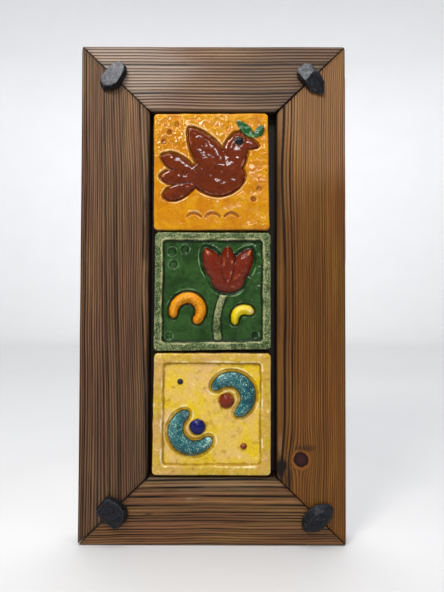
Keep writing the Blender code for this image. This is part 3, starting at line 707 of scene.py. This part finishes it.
def tulip(clay):
    """A folk tulip that leans on a bent stem, with a curled leaf on each side and pressed dots."""
    ground = -3.0
    clay.glazes["rim_green"] = smoothstep(-0.9, 0.5, clay.sink_field(6.6 * 100 / clay.width, ground, 0.8))
    cup = petal((13, -1), (13, 30), 29, 0.8, 0.5)
    outer = [petal((13, 1), tip, 17, 1.1, 0.65) for tip in ((-7, 37), (33, 36))]
    drop = petal((13, 2), (13, 39), 17, 0.95, 0.7)
    stem = band((62, -29), 58.4, 144, 194, (6.0, 6.0, 7.5))
    clay.raise_form(stem, ground, ground + 2.4, "rim_green", shoulder=1.5)
    clay.trench([cup] + outer, ground - 1.3, 2.8)
    for outline, top in zip([cup] + outer + [drop], (2.9, 3.4, 3.5, 4.8)):
        clay.raise_form(outline, ground - 1.3, ground + top, "brick_red", shoulder=4.6, crown=0.55)
    orange = band((-21, -17), 10.5, -62, 205, (7, 9.5, 6.5), 2.0)
    yellow = band((27, -24), 8, 215, 30, (4, 8.5, 6.5))
    clay.trench([orange], ground - 0.9, 1.8)
    clay.trench([yellow], ground - 0.9, 1.6)
    clay.raise_form(orange, ground - 0.9, ground + 4.1, "orange", shoulder=4.4)
    clay.raise_form(yellow, ground - 0.9, ground + 3.8, "yellow", shoulder=3.8)
    for place in ((-35, 34), (-24, 36), (-34, 23)):
        clay.dent(disc(place, 3.8))
    for place in ((36, -38), (-37, -38)):
        clay.dent(disc(place, 3.0))


def moons(clay):
    """Two moons that face each other, each with a ball in its hollow and a groove round it."""
    ground = -2.8
    clay.glazes["rim_cream"] = smoothstep(-0.9, 0.5, clay.sink_field(8.0 * 100 / clay.width, ground, 0.9))
    pair = [moon((-15.5, -14), 15, 42, 14, 118), moon((15.5, 14), 15, 222, 14, 118)]
    clay.trench(pair, ground - 1.1, 2.5)
    for outline in pair:
        clay.raise_form(outline, ground - 1.1, ground + 4.7, "teal", shoulder=6.2)
    balls = (((-12, -11), 6.6, 4.4, "cobalt"), ((12, 11), 6.3, 4.4, "iron_red"),
             ((-27, 27), 2.4, 1.6, "blue_black"), ((27, -27), 2.4, 1.6, "iron_red"))
    for centre, radius, rise, glaze in balls:
        clay.raise_form(disc(centre, radius), ground, ground + rise, glaze, shoulder=radius, crown=0.1)


def outer_edge(clay):
    """For the grid's border points in order: their places on the grid and on the tile's rounded
    outline. The outline's corner is longer than the grid's, so the points spread out round it."""
    index = np.arange(GRID * GRID).reshape(GRID, GRID)
    loop = np.concatenate([index[:-1, 0], index[-1, :-1], index[:0:-1, -1], index[0, :0:-1]])
    x, y = clay.u.ravel()[loop], clay.v.ravel()[loop]
    edge = 50.0 - clay.half_u
    radius = TILE_CORNER_RADIUS / MM * 100 / clay.width
    on_side = np.abs(x) / clay.half_u >= np.abs(y) / clay.half_v - 1e-9
    along = np.where(on_side, np.abs(y), np.abs(x))
    inner_end = np.where(on_side, clay.half_v, clay.half_u)
    far = np.where(on_side, clay.half_u, clay.half_v) + edge
    spread = 3.0
    arc_start = inner_end + edge - radius
    length = radius * pi / 4 + arc_start - (inner_end - spread)
    from_corner = inner_end - along
    run = length * from_corner / spread
    turn = pi / 4 - run / radius
    near_corner = from_corner < spread
    on_arc = near_corner & (run < radius * pi / 4)
    out_along = np.where(on_arc, arc_start + radius * np.sin(turn), inner_end - spread + length - run)
    out_along = np.where(near_corner, out_along, along)
    out_far = np.where(on_arc, far - radius + radius * np.cos(turn), far)
    out_x = np.sign(x) * np.where(on_side, out_far, out_along)
    out_y = np.sign(y) * np.where(on_side, out_along, out_far)
    return loop, x, y, out_x, out_y


def make_tile(name, middle_z, relief, seed, wrinkled, material):
    """One tile: its modelled face, then rings of points round the edge and down the sides."""
    clay = Clay(name, seed)
    relief(clay)
    clay.surface = softened(clay.surface, FACE_PASSES)

    # The hand-smoothed face, and a glaze coat that is nowhere quite even
    lifted = clay.surface - softened(clay.surface, LIFT_PASSES)
    thin = np.clip(1.2 + 2.0 * clay.noise(8.0, 13), 0.1, 3.0)
    lifted = np.clip(lifted * np.where(lifted > 0, thin, 2.1 + 1.0 * clay.noise(12.0, 17)), -1, 1)
    clay.surface -= 0.5 * (0.5 + 0.5 * clay.noise(16.0, 1)) + 0.2 * (0.5 + 0.5 * clay.noise(5.5, 2))
    crawled = smoothstep(-0.3, 0.4, 0.7 * clay.noise(24.0, 10) + 0.008 * (clay.u + 1.8 * clay.v)) * wrinkled
    crawled = crawled * (1 - 0.88 * clay.glazes.get("russet", 0.0))
    folds = 1 - np.abs(clay.noise(5.6, 11) + 0.6 * clay.noise(2.8, 12))
    clay.surface += 1.0 * crawled * (folds - 0.8) + 0.16 * clay.noise(4.6, 15) + 0.05 * clay.noise(2.2, 3)
    for rim in {"rim_green", "rim_cream"} & set(clay.glazes):
        clay.surface += (0.24 if rim == "rim_green" else 0.1) * clay.glazes[rim] * clay.noise(1.5, 16)

    loop, x, y, out_x, out_y = outer_edge(clay)
    unit = clay.width / 100
    edge = TILE_EDGE_ROUNDING / MM
    across, up, height = [clay.u.ravel()], [clay.v.ravel()], [clay.surface.ravel()]
    lift, glazed = [lifted.ravel()], [np.ones(GRID * GRID)]
    rings = [(cos(turn), -edge * (1 - sin(turn)), sin(turn)) for turn in np.linspace(pi / 2, 0, 7)[1:]]
    side_depths = np.linspace(edge, (TILE_THICKNESS - TILE_BACK_CHAMFER) / MM, 7)[1:]
    rings += [(1.0, -depth, 0.0) for depth in side_depths]
    rings.append((1.0 - TILE_BACK_CHAMFER / MM / edge, -TILE_THICKNESS / MM, 0.0))
    for share, depth, kept in rings:
        ring_x, ring_y = x + (out_x - x) * share, y + (out_y - y) * share
        dip = 0.4 * (1 + value_noise(ring_x + 0.5 * depth, ring_y - 0.5 * depth, 9.0, seed + 90))
        dip += 0.16 * (1 + value_noise(ring_x - 0.6 * depth, ring_y + 0.6 * depth, 2.8, seed + 91))
        dip *= 1 - kept
        across.append(ring_x - np.sign(ring_x) * dip * (np.abs(x) >= clay.half_u - 0.01))
        up.append(ring_y - np.sign(ring_y) * dip * (np.abs(y) >= clay.half_v - 0.01))
        height.append(depth + clay.surface.ravel()[loop] * kept)
        lift.append(lifted.ravel()[loop] * kept + 0.15)
        glazed.append(np.full(loop.size, 1.0 - smoothstep(edge + 0.6, edge + 6.0, -depth)))
    across, up, height = (np.concatenate(part) for part in (across, up, height))

    # Place in the frame, with the clay's creep shared out from the corners
    creep = TILES[name][3]
    right = 0.5 + across * unit / clay.width
    top = 0.5 + up * unit / clay.height
    shares = ((1 - right) * top, right * top, right * (1 - top), (1 - right) * (1 - top))
    shift_x = sum(share * corner[0] for share, corner in zip(shares, creep))
    shift_z = sum(share * corner[1] for share, corner in zip(shares, creep))
    points = np.stack([(TILES[name][2] + across * unit + shift_x) * MM,
                       TILE_BACK_Y - TILE_THICKNESS - height * MM,
                       middle_z + (up * unit + shift_z) * MM], -1)

    index = np.arange(GRID * GRID).reshape(GRID, GRID)
    cells = np.stack([index[:-1, :-1], index[1:, :-1], index[1:, 1:], index[:-1, 1:]], -1).reshape(-1, 4)
    faces = cells.tolist()
    previous = loop
    for number in range(len(rings)):
        current = GRID * GRID + number * loop.size + np.arange(loop.size)
        skirt = np.stack([previous, np.roll(previous, -1), np.roll(current, -1), current], -1)
        faces += skirt.tolist()
        previous = current
    faces.append(previous.tolist())
    fields = {
        "lift": np.concatenate(lift),
        "glazed": np.concatenate(glazed),
        "clay": np.stack([across, up, np.full(across.size, seed * 10.0) + height], -1),
    }
    for glaze, share in clay.glazes.items():
        fields[glaze] = np.concatenate([share.ravel()] + [share.ravel()[loop]] * len(rings))
    piece = make_piece(name + "_relief", points, faces, fields, material)
    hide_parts(name)


def glaze(name, coats, stroke, patchy):
    """Glossy lead-like glaze over buff clay with grog in it. Each coat is the place it was brushed
    on, its colour where it pools, two colours that drift into each other, its colour where it runs
    thin, how much of the grainy clay shows through, its roughness, and how much it crinkled. The
    ground and the rims were dipped, in strokes a stroke long, and the figures painted."""
    material, tree, shader = new_material(name)
    place = add(tree, "Attribute", attribute_name="clay", out="Vector")
    lift, glazed = (add(tree, "Attribute", attribute_name=field, out="Fac") for field in ("lift", "glazed"))
    marks = []
    for size, detail, distortion in ((stroke, 3.0, 0.6), (2.4, 3.0, 0.4), (0.18 * stroke, 2.0, 0.4),
                                     (0.85, 3.0, 0.0), (6.5, 2.0, 0.5), (3.2, 1.0, 0.0), (2.6, 1.0, 1.2)):
        marks.append(add(tree, "TexNoise", {"Vector": place, "Scale": 1 / size, "Detail": detail,
                                            "Roughness": 0.62, "Distortion": distortion}))
    patches, mottle, strokes, grog, blotches, dimples, crawl = marks
    drift = add(tree, "MapRange", {0: patches, 1: 0.38, 2: 0.62})
    blotches = add(tree, "MapRange", {0: blotches, 1: 0.3, 2: 0.7, 3: -1.0, 4: 1.0})
    spreads = []
    for marked, blotchy in ((strokes, patchy), (mottle, 0.2)):
        marked = add(tree, "Math", {0: marked, 1: lift}, operation='ADD')
        spreads.append(add(tree, "Math", {0: blotches, 1: blotchy, 2: marked}, operation='MULTIPLY_ADD'))
    dipped, painted = spreads
    for where, pool, one, other, edge, grain, dull, crinkle in coats:
        gritty = add(tree, "MapRange", {0: grog, 1: 0.3, 2: 0.7, 3: -grain, 4: grain})
        spread = dipped if where is None or where.startswith("rim") else painted
        spread = add(tree, "Math", {0: gritty, 1: spread}, operation='ADD')
        coat = add(tree, "Mix", {0: drift, 6: one, 7: other}, out=2, data_type='RGBA')
        for full, none, shade in ((-0.1, 0.36, pool), (1.2, 0.78, edge)):
            share = add(tree, "MapRange", {0: spread, 1: none, 2: full})
            coat = add(tree, "Mix", {0: share, 6: coat, 7: shade}, out=2, data_type='RGBA')
        if where is None:
            colour, grit, rough, crinkled = coat, grain, dull, crinkle
        else:
            share = add(tree, "Attribute", attribute_name=where, out="Fac")
            colour = add(tree, "Mix", {0: share, 6: colour, 7: coat}, out=2, data_type='RGBA')
            grit = add(tree, "Mix", {0: share, 2: grit, 3: grain})
            rough = add(tree, "Mix", {0: share, 2: rough, 3: dull})
            crinkled = add(tree, "Mix", {0: share, 2: crinkled, 3: crinkle})

    # Fine mottling of the whole coat, and a few dark iron specks
    shade = add(tree, "MapRange", {0: mottle, 1: 0.25, 2: 0.75, 3: 0.86, 4: 1.12})
    colour = add(tree, "VectorMath", {0: colour, 1: shade}, operation='MULTIPLY')
    cells = {"Vector": place, "Scale": 1 / 4.2, "Randomness": 1.0}
    spot = add(tree, "MapRange", {0: add(tree, "TexVoronoi", cells), 1: 0.06, 2: 0.11, 3: 0.8, 4: 0.0})
    chance = add(tree, "SeparateColor", {0: add(tree, "TexVoronoi", cells, out="Color")})
    chosen = add(tree, "Math", {0: chance, 1: 0.93}, operation='GREATER_THAN')
    speck = add(tree, "Math", {0: spot, 1: chosen}, operation='MULTIPLY')
    colour = add(tree, "Mix", {0: speck, 6: colour, 7: "#33241a"}, out=2, data_type='RGBA')

    # Below the dip line the clay is bare
    bare = add(tree, "Math", {0: mottle, 1: glazed}, operation='SUBTRACT')
    bare = add(tree, "MapRange", {0: bare, 1: -0.05, 2: 0.05})
    colour = add(tree, "Mix", {0: bare, 6: colour, 7: "#b08f70"}, out=2, data_type='RGBA')

    # A glassy coat with soft dimples 3 mm across, crinkled patches, pinholes, and grit on the rims
    dimpled = add(tree, "MapRange", {0: crinkled, 2: 0.3, 3: 0.05, 4: 0.5})
    crawled = add(tree, "MapRange", {0: patches, 1: 0.40, 2: 0.60, 3: 0.1, 4: 1.0})
    crawled = add(tree, "Math", {0: crawled, 1: crinkled}, operation='MULTIPLY')
    rubble = add(tree, "MapRange", {0: grit, 1: 0.12, 2: 0.6, 4: 1.4})
    height = 0.0
    for mark, share in ((dimples, dimpled), (crawl, crawled), (spot, -0.25), (grog, rubble)):
        height = add(tree, "Math", {0: mark, 1: share, 2: height}, operation='MULTIPLY_ADD')
    bump = add(tree, "Bump", {"Height": height, "Strength": 0.8, "Distance": 0.3 * MM})
    gloss = add(tree, "MapRange", {0: mottle, 1: 0.3, 2: 0.7, 3: 0.75, 4: 1.3})
    rough = add(tree, "Math", {0: gloss, 1: rough}, operation='MULTIPLY')
    rough = add(tree, "Mix", {0: bare, 2: rough, 3: 0.85})
    feed(tree, shader, {"Base Color": colour, "Normal": bump, "Roughness": rough, "Specular IOR Level": 0.26})
    return material


GLAZES = {
    "tile_top": glaze("ochre_glaze", (
        (None, "#8a4a00", "#ba7200", "#ca8c00", "#dab070", 0.12, 0.06, 1.4),
        ("russet", "#2c0a01", "#662404", "#581e02", "#a8664e", 0.05, 0.06, 0.3),
        ("black", "#030408", "#070a12", "#0a0d16", "#141c28", 0.0, 0.13, 0.0),
        ("leaf_green", "#0c2c12", "#16461c", "#1d5426", "#5d8a58", 0.05, 0.08, 0.4),
    ), 15.0, 0.24),
    "tile_middle": glaze("green_glaze", (
        (None, "#0d1e08", "#193810", "#2d5020", "#64865a", 0.14, 0.10, 0.9),
        ("rim_green", "#0a2008", "#2b4a1a", "#5f7042", "#b0ac80", 0.95, 0.45, 0.8),
        ("brick_red", "#380a02", "#70220a", "#601b06", "#c8703f", 0.14, 0.07, 0.35),
        ("orange", "#743600", "#d88000", "#dc9000", "#e49c24", 0.85, 0.12, 0.2),
        ("yellow", "#8c7400", "#d8be00", "#e0cc08", "#e2c88c", 0.4, 0.14, 0.2),
    ), 14.0, 0.28),
    "tile_bottom": glaze("yellow_glaze", (
        (None, "#a88006", "#dcba0c", "#dab26a", "#ecdca4", 0.06, 0.10, 0.6),
        ("rim_cream", "#9c7620", "#c4a22a", "#c69c58", "#e4d2a0", 0.3, 0.18, 0.5),
        ("teal", "#021b1d", "#08434c", "#1b666a", "#a8cec4", 0.62, 0.09, 0.7),
        ("cobalt", "#030420", "#080c46", "#0e1458", "#242c7c", 0.05, 0.07, 0.0),
        ("iron_red", "#3c0d04", "#6c1e0a", "#782a0e", "#b06a44", 0.14, 0.09, 0.0),
        ("blue_black", "#0a0c18", "#14182c", "#1a1e34", "#2c3048", 0.05, 0.14, 0.0),
    ), 26.0, 0.34),
}

# Each tile's relief, the seed of its unevenness, how much its glaze crawled, and its slot
RELIEFS = {
    "tile_top": (bird, 3, 1.0, "ochre_glazed_tile"),
    "tile_middle": (tulip, 5, 0.35, "green_glazed_tile"),
    "tile_bottom": (moons, 8, 0.45, "yellow_glazed_tile"),
}
TILE_BACK_Y = -REBATE_DEPTH
tile_top_z = top_high.z - RAIL_WIDTH - TILE_END_GAP
for tile_name, joint in zip(TILES, TILE_JOINTS):
    tile_height = TILES[tile_name][1] * MM
    relief, tile_seed, wrinkled, slot = RELIEFS[tile_name]
    make_tile(tile_name, tile_top_z - tile_height / 2, relief, tile_seed, wrinkled, GLAZES[tile_name])
    tile_top_z -= tile_height + joint


# Nails
# Four hand-forged nails of wrought iron, one driven in over each mitre. Each head was hammered to a few flat
# facets and keeps its dark fire scale, with a dull shine on the worn edges, and a painted highlight, a
# lighter grey, on the faces toward the light.

NAIL_EDGE = 2.0
NAIL_UNDERCUT = 0.5
SHANK_SIDE = 4.6
SHANK_LENGTH = 13.0
SEAT_GAP = 0.3
FORGING_GRAIN = 0.42
# The direction toward the key light, whose faces get a painted highlight
LIT_AND_TOUCHED_FROM = (-0.35, -1.0, 0.75)

# Distance from the frame's side, then the head's outline and the corners of its top facets, in mm
# from the shank: (across, up) and (across, up, height over the board)
NAILS = {
    "top_left": (
        27.7, ((4.3, 11.6), (8.4, 10.2), (11.4, 7.0), (11.6, 2.6), (8.8, -3.4), (4.8, -9.8),
               (-2.0, -12.5), (-8.7, -11.8), (-11.6, -6.6), (-11.2, -2.2), (-3.0, 7.0), (-0.6, 9.8)),
        ((3.8, 10.4, 5.6), (7.4, 9.0, 5.9), (9.9, 6.2, 6.2), (9.9, 2.6, 6.3), (7.1, -3.0, 6.4),
         (3.4, -8.4, 6.3), (-2.2, -10.9, 5.6), (-7.9, -10.2, 5.2), (-10.3, -5.9, 5.2),
         (-10.1, -2.2, 5.2), (-2.2, 6.6, 5.4))),
    "top_right": (
        30.0, ((-11.3, 9.0), (-5.1, 13.4), (0.3, 12.6), (3.1, 8.4), (7.9, 5.2), (11.5, -2.1),
               (11.5, -12.9), (8.1, -13.2), (-0.3, -10.7), (-6.5, -3.4), (-11.5, 1.2), (-12.2, 5.3)),
        ((0.9, 3.4, 8.2), (-5.6, -4.2, 7.0), (-9.8, 2.8, 4.8), (-4.0, 10.4, 4.8))),
    "bottom_left": (
        29.3, ((-13.5, 3.0), (-4.6, 13.4), (-1.2, 13.4), (7.1, 9.1), (13.3, 3.0), (13.5, -3.4),
               (11.2, -8.0), (5.8, -12.9), (2.5, -13.4), (-7.0, -6.4), (-11.3, -2.1)),
        ((-11.8, 2.8, 5.8), (-4.3, 11.4, 6.1), (-1.0, 11.6, 6.2), (5.6, 8.4, 6.7), (10.4, 3.2, 7.1),
         (10.6, -3.0, 7.2), (8.8, -7.0, 7.0), (4.7, -11.2, 6.4), (2.4, -11.8, 6.2),
         (-6.2, -5.8, 5.8), (-10.0, -1.8, 5.6))),
    "bottom_right": (
        24.8, ((-13.5, -5.9), (-12.5, 0.4), (-7.9, 6.8), (-2.4, 10.8), (5.7, 12.2), (11.1, 11.3),
               (13.5, 8.2), (12.8, 1.5), (8.0, -5.7), (1.2, -10.8), (-8.1, -11.8), (-12.2, -9.6)),
        ((-8.6, -2.4, 7.0), (-3.0, 5.0, 7.4), (3.8, 8.0, 7.2), (10.2, 7.4, 5.6), (9.2, 0.4, 6.2),
         (2.8, -7.0, 6.0), (-7.2, -8.6, 5.6))),
}


def fire_scale(name):
    """Forged iron under black fire scale, dull and blue-black, lighter on the worn edges, and painted a
    lighter grey on the faces toward the light, a painted highlight as well as rubbed iron."""
    material, tree, shader = new_material(name)
    place = add(tree, "TexCoord", out="Object")
    scale, marks, pits = (add(tree, "TexNoise", {"Vector": place, "Scale": 1 / (size * MM), "Detail": detail})
                          for size, detail in ((2.2, 4.0), (4.0, 2.0), (0.9, 3.0)))
    black, grey = (add(tree, "ValToRGB", {0: scale}, stops=tuple(zip((0.3, 0.5, 0.7), colours)))
                   for colours in (("#1a1b1e", "#26272b", "#36373c"), ("#3c3d41", "#515256", "#6e6f74")))
    marks = add(tree, "MapRange", {0: marks, 1: 0.3, 2: 0.6, 3: 0.5, 4: 1.0})
    # Painted highlight: lighter grey on the faces toward the light, as well as rubbed
    lit_and_rubbed = add(tree, "Attribute", attribute_name="lit_and_rubbed", out="Fac")
    lit_and_rubbed = add(tree, "Math", {0: lit_and_rubbed, 1: marks}, operation='MULTIPLY')
    tone = add(tree, "Mix", {0: lit_and_rubbed, 6: black, 7: grey}, out=2, data_type='RGBA')
    worn_edge = add(tree, "MapRange", {0: add(tree, "NewGeometry", out="Pointiness"), 1: 0.51, 2: 0.56})
    tone = add(tree, "Mix", {0: worn_edge, 6: tone, 7: "#505156"}, out=2, data_type='RGBA')
    rough = add(tree, "MapRange", {0: scale, 1: 0.3, 2: 0.7, 3: 0.48, 4: 0.64})
    bump = add(tree, "Bump", {"Height": pits, "Strength": 0.6, "Distance": 0.25 * MM})
    feed(tree, shader, {"Base Color": tone, "Metallic": 0.85, "Roughness": rough, "Normal": bump})
    return material


def make_nail(corner, lit_and_rubbed_from, seed):
    """One nail: a hull over its outline and facets, fused to its shank, then hammered."""
    from_side, outline, facets = NAILS[corner]
    from_end = from_side * RAIL_WIDTH / STILE_WIDTH
    side = 1 if corner.endswith("right") else -1
    middle_x = side * (FRAME_WIDTH / 2 - from_side * MM)
    middle_z = top_high.z - from_end * MM if corner.startswith("top") else bottom_low.z + from_end * MM
    seat = -BOARD_THICKNESS / MM - SEAT_GAP
    shape = bmesh.new()
    for across, up in outline:
        share = 1 - NAIL_UNDERCUT / hypot(across, up)
        shape.verts.new((across * share, seat, up * share))
        shape.verts.new((across, seat - NAIL_EDGE, up))
    for across, up, height in facets:
        shape.verts.new((across, seat - height, up))
    bmesh.ops.convex_hull(shape, input=shape.verts)
    bar = bmesh.ops.create_cube(shape, size=1.0)["verts"]
    bmesh.ops.scale(shape, verts=bar, vec=(SHANK_SIDE, SHANK_LENGTH + 1, SHANK_SIDE))
    bmesh.ops.translate(shape, verts=bar, vec=(0, seat + SHANK_LENGTH / 2 - 0.5, 0))
    rough = bpy.data.meshes.new("forging")
    shape.to_mesh(rough)
    shape.free()
    forging = add_object("forging", rough)
    fuse = forging.modifiers.new("fuse", 'REMESH')
    fuse.mode = 'VOXEL'
    fuse.voxel_size = FORGING_GRAIN
    ease = forging.modifiers.new("ease", 'SMOOTH')
    ease.factor = 0.5
    ease.iterations = 2
    bpy.context.view_layer.update()
    mesh = bpy.data.meshes.new_from_object(forging.evaluated_get(bpy.context.evaluated_depsgraph_get()))
    bpy.data.objects.remove(forging)

    # Hammer marks: broad shallow dents and finer ones, all into the metal
    count = len(mesh.vertices)
    points = np.empty(count * 3)
    normals = np.empty(count * 3)
    mesh.vertices.foreach_get("co", points)
    mesh.vertices.foreach_get("normal", normals)
    points, normals = points.reshape(-1, 3), normals.reshape(-1, 3)
    x, y, z = points.T
    dents = 0.07 * (1 + value_noise(x + 0.4 * y, z - 0.3 * y, 5.5, seed))
    dents += 0.025 * (1 + value_noise(x - y, z + y, 1.6, seed + 1))
    head = (y < seat + 0.2)[:, None]
    points = points - normals * dents[:, None] * head
    points = points * MM + np.array([middle_x, 0.0, middle_z])
    mesh.vertices.foreach_set("co", points.ravel())
    # Painted highlight: the faces toward the light are painted a lighter grey, as well as rubbed
    facing = normals @ np.array(LIT_AND_TOUCHED_FROM) / hypot(*LIT_AND_TOUCHED_FROM)
    lit_and_rubbed = smoothstep(lit_and_rubbed_from, lit_and_rubbed_from + 0.1, facing)
    mesh.attributes.new("lit_and_rubbed", 'FLOAT', 'POINT').data.foreach_set("value", lit_and_rubbed.astype(np.float32))
    mesh.shade_smooth()
    mesh.materials.clear()
    mesh.materials.append(iron)
    nail = add_object("nail_" + corner + "_forged", mesh)
    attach(nail, "root")
    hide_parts("nail_" + corner)


# Painted highlight, as well as rubbed iron: the upper nails are lighter on all that faces forward, and the
# lower two only on their upper bevels
LIT_AND_RUBBED_FROM = {"top_left": 0.62, "top_right": 0.62, "bottom_left": 0.92, "bottom_right": 0.98}
iron = fire_scale("forged_iron_under_scale")
for nail_seed, nail_corner in enumerate(NAILS):
    make_nail(nail_corner, LIT_AND_RUBBED_FROM[nail_corner], 60 + 7 * nail_seed)


# Studio floor and lights
# The panel stands on pale matt paper that sweeps up all round, far from it. The paper is painted darker round
# the panel, as painted shade, and paler out to the sweep. A soft box in front and above to the left does what
# the room's light does in the photograph, and a second one puts glints on the glazes. A wide one overhead
# lights the floor, and a wash lights the sweep behind.

FLOOR_RADIUS = 2.4
SWEEP_RADIUS = 1.2
SWEEP_HEIGHT = 3.2
SWEEP_POINTS = 16
FLOOR_STEPS = 96
FLOOR_GAP = 0.2 * MM


def make_floor():
    """A round floor, spun from its section, that rises in a quarter circle to an upright wall."""
    shape = bmesh.new()
    profile = [(0.0, 0.0), (0.5, 0.0), (1.2, 0.0), (FLOOR_RADIUS, 0.0)]
    for turn in np.linspace(0, pi / 2, SWEEP_POINTS)[1:]:
        profile.append((FLOOR_RADIUS + SWEEP_RADIUS * sin(turn), SWEEP_RADIUS * (1 - cos(turn))))
    profile.append((FLOOR_RADIUS + SWEEP_RADIUS, SWEEP_HEIGHT))
    edges = []
    corners = [shape.verts.new((reach, 0.0, rise)) for reach, rise in profile]
    for one, other in zip(corners, corners[1:]):
        edges.append(shape.edges.new((one, other)))
    bmesh.ops.spin(shape, geom=corners + edges, cent=(0, 0, 0), axis=(0, 0, 1), angle=2 * pi,
                   steps=FLOOR_STEPS, use_merge=True)
    bmesh.ops.remove_doubles(shape, verts=shape.verts, dist=0.0001)
    mesh = bpy.data.meshes.new("studio_floor")
    shape.to_mesh(mesh)
    shape.free()
    mesh.shade_smooth()
    floor = add_object("studio_floor", mesh)
    floor.location.z = cad_low.z - FLOOR_GAP
    material, tree, shader = new_material("matt_paper")
    place = add(tree, "TexCoord", out="Object")
    flat = add(tree, "VectorMath", {0: place, 1: (1.0, 1.0, 0.0)}, operation='MULTIPLY')
    from_middle = add(tree, "VectorMath", {0: flat}, out="Value", operation='LENGTH')
    outwards = add(tree, "MapRange", {0: from_middle, 1: 0.1, 2: FLOOR_RADIUS + SWEEP_RADIUS})
    # Painted shade: the paper is darker round the panel and paler out to the sweep
    paper = add(tree, "ValToRGB", {0: outwards}, stops=(
        (0.0, "#d2d2d2"), (0.05, "#c7c7c7"), (0.3, "#cdcdcd"), (0.6, "#e3e3e2"), (1.0, "#f1f1f1")))
    tooth = add(tree, "TexNoise", {"Vector": place, "Scale": 6.0, "Detail": 2.0})
    tooth = add(tree, "MapRange", {0: tooth, 3: 0.98, 4: 1.02})
    paper = add(tree, "VectorMath", {0: paper, 1: tooth}, operation='MULTIPLY')
    feed(tree, shader, {"Base Color": paper, "Roughness": 0.9})
    mesh.materials.append(material)


def make_soft_box(name, place, aim, size, watts, colour):
    light = bpy.data.lights.new(name, 'AREA')
    light.shape = 'RECTANGLE'
    light.size, light.size_y = size
    light.energy = watts
    light.color = linear(colour)[:3]
    lamp = add_object(name, light)
    lamp.location = place
    lamp.rotation_euler = (Vector(aim) - Vector(place)).to_track_quat('-Z', 'Y').to_euler()
    lamp.visible_camera = False


make_floor()
make_soft_box("key_soft_box", place=(-0.27, -0.50, 0.40), aim=(-0.03, 0.0, -0.08), size=(0.20, 0.12),
              watts=3.8, colour="#fffaf4")
make_soft_box("front_soft_box", place=(0.08, -0.80, 0.33), aim=(0.0, 0.0, -0.05), size=(0.27, 0.10),
              watts=2.5, colour="#fbfcff")
make_soft_box("overhead_soft_box", place=(0.0, 0.35, 1.9), aim=(0.0, 0.35, -0.4), size=(2.2, 2.4),
              watts=58.0, colour="#fbfcff")
make_soft_box("backdrop_wash", place=(0.0, 1.3, 1.5), aim=(0.0, 3.6, 2.1), size=(2.8, 0.9),
              watts=37.0, colour="#fbfcff")
world = bpy.data.worlds.new("pale_room")
bpy.context.scene.world = world
world.use_nodes = True
feed(world.node_tree, world.node_tree.nodes["Background"], {"Color": "#f4f6fa", "Strength": 0.26})
bpy.context.scene.view_settings.view_transform = 'Standard'
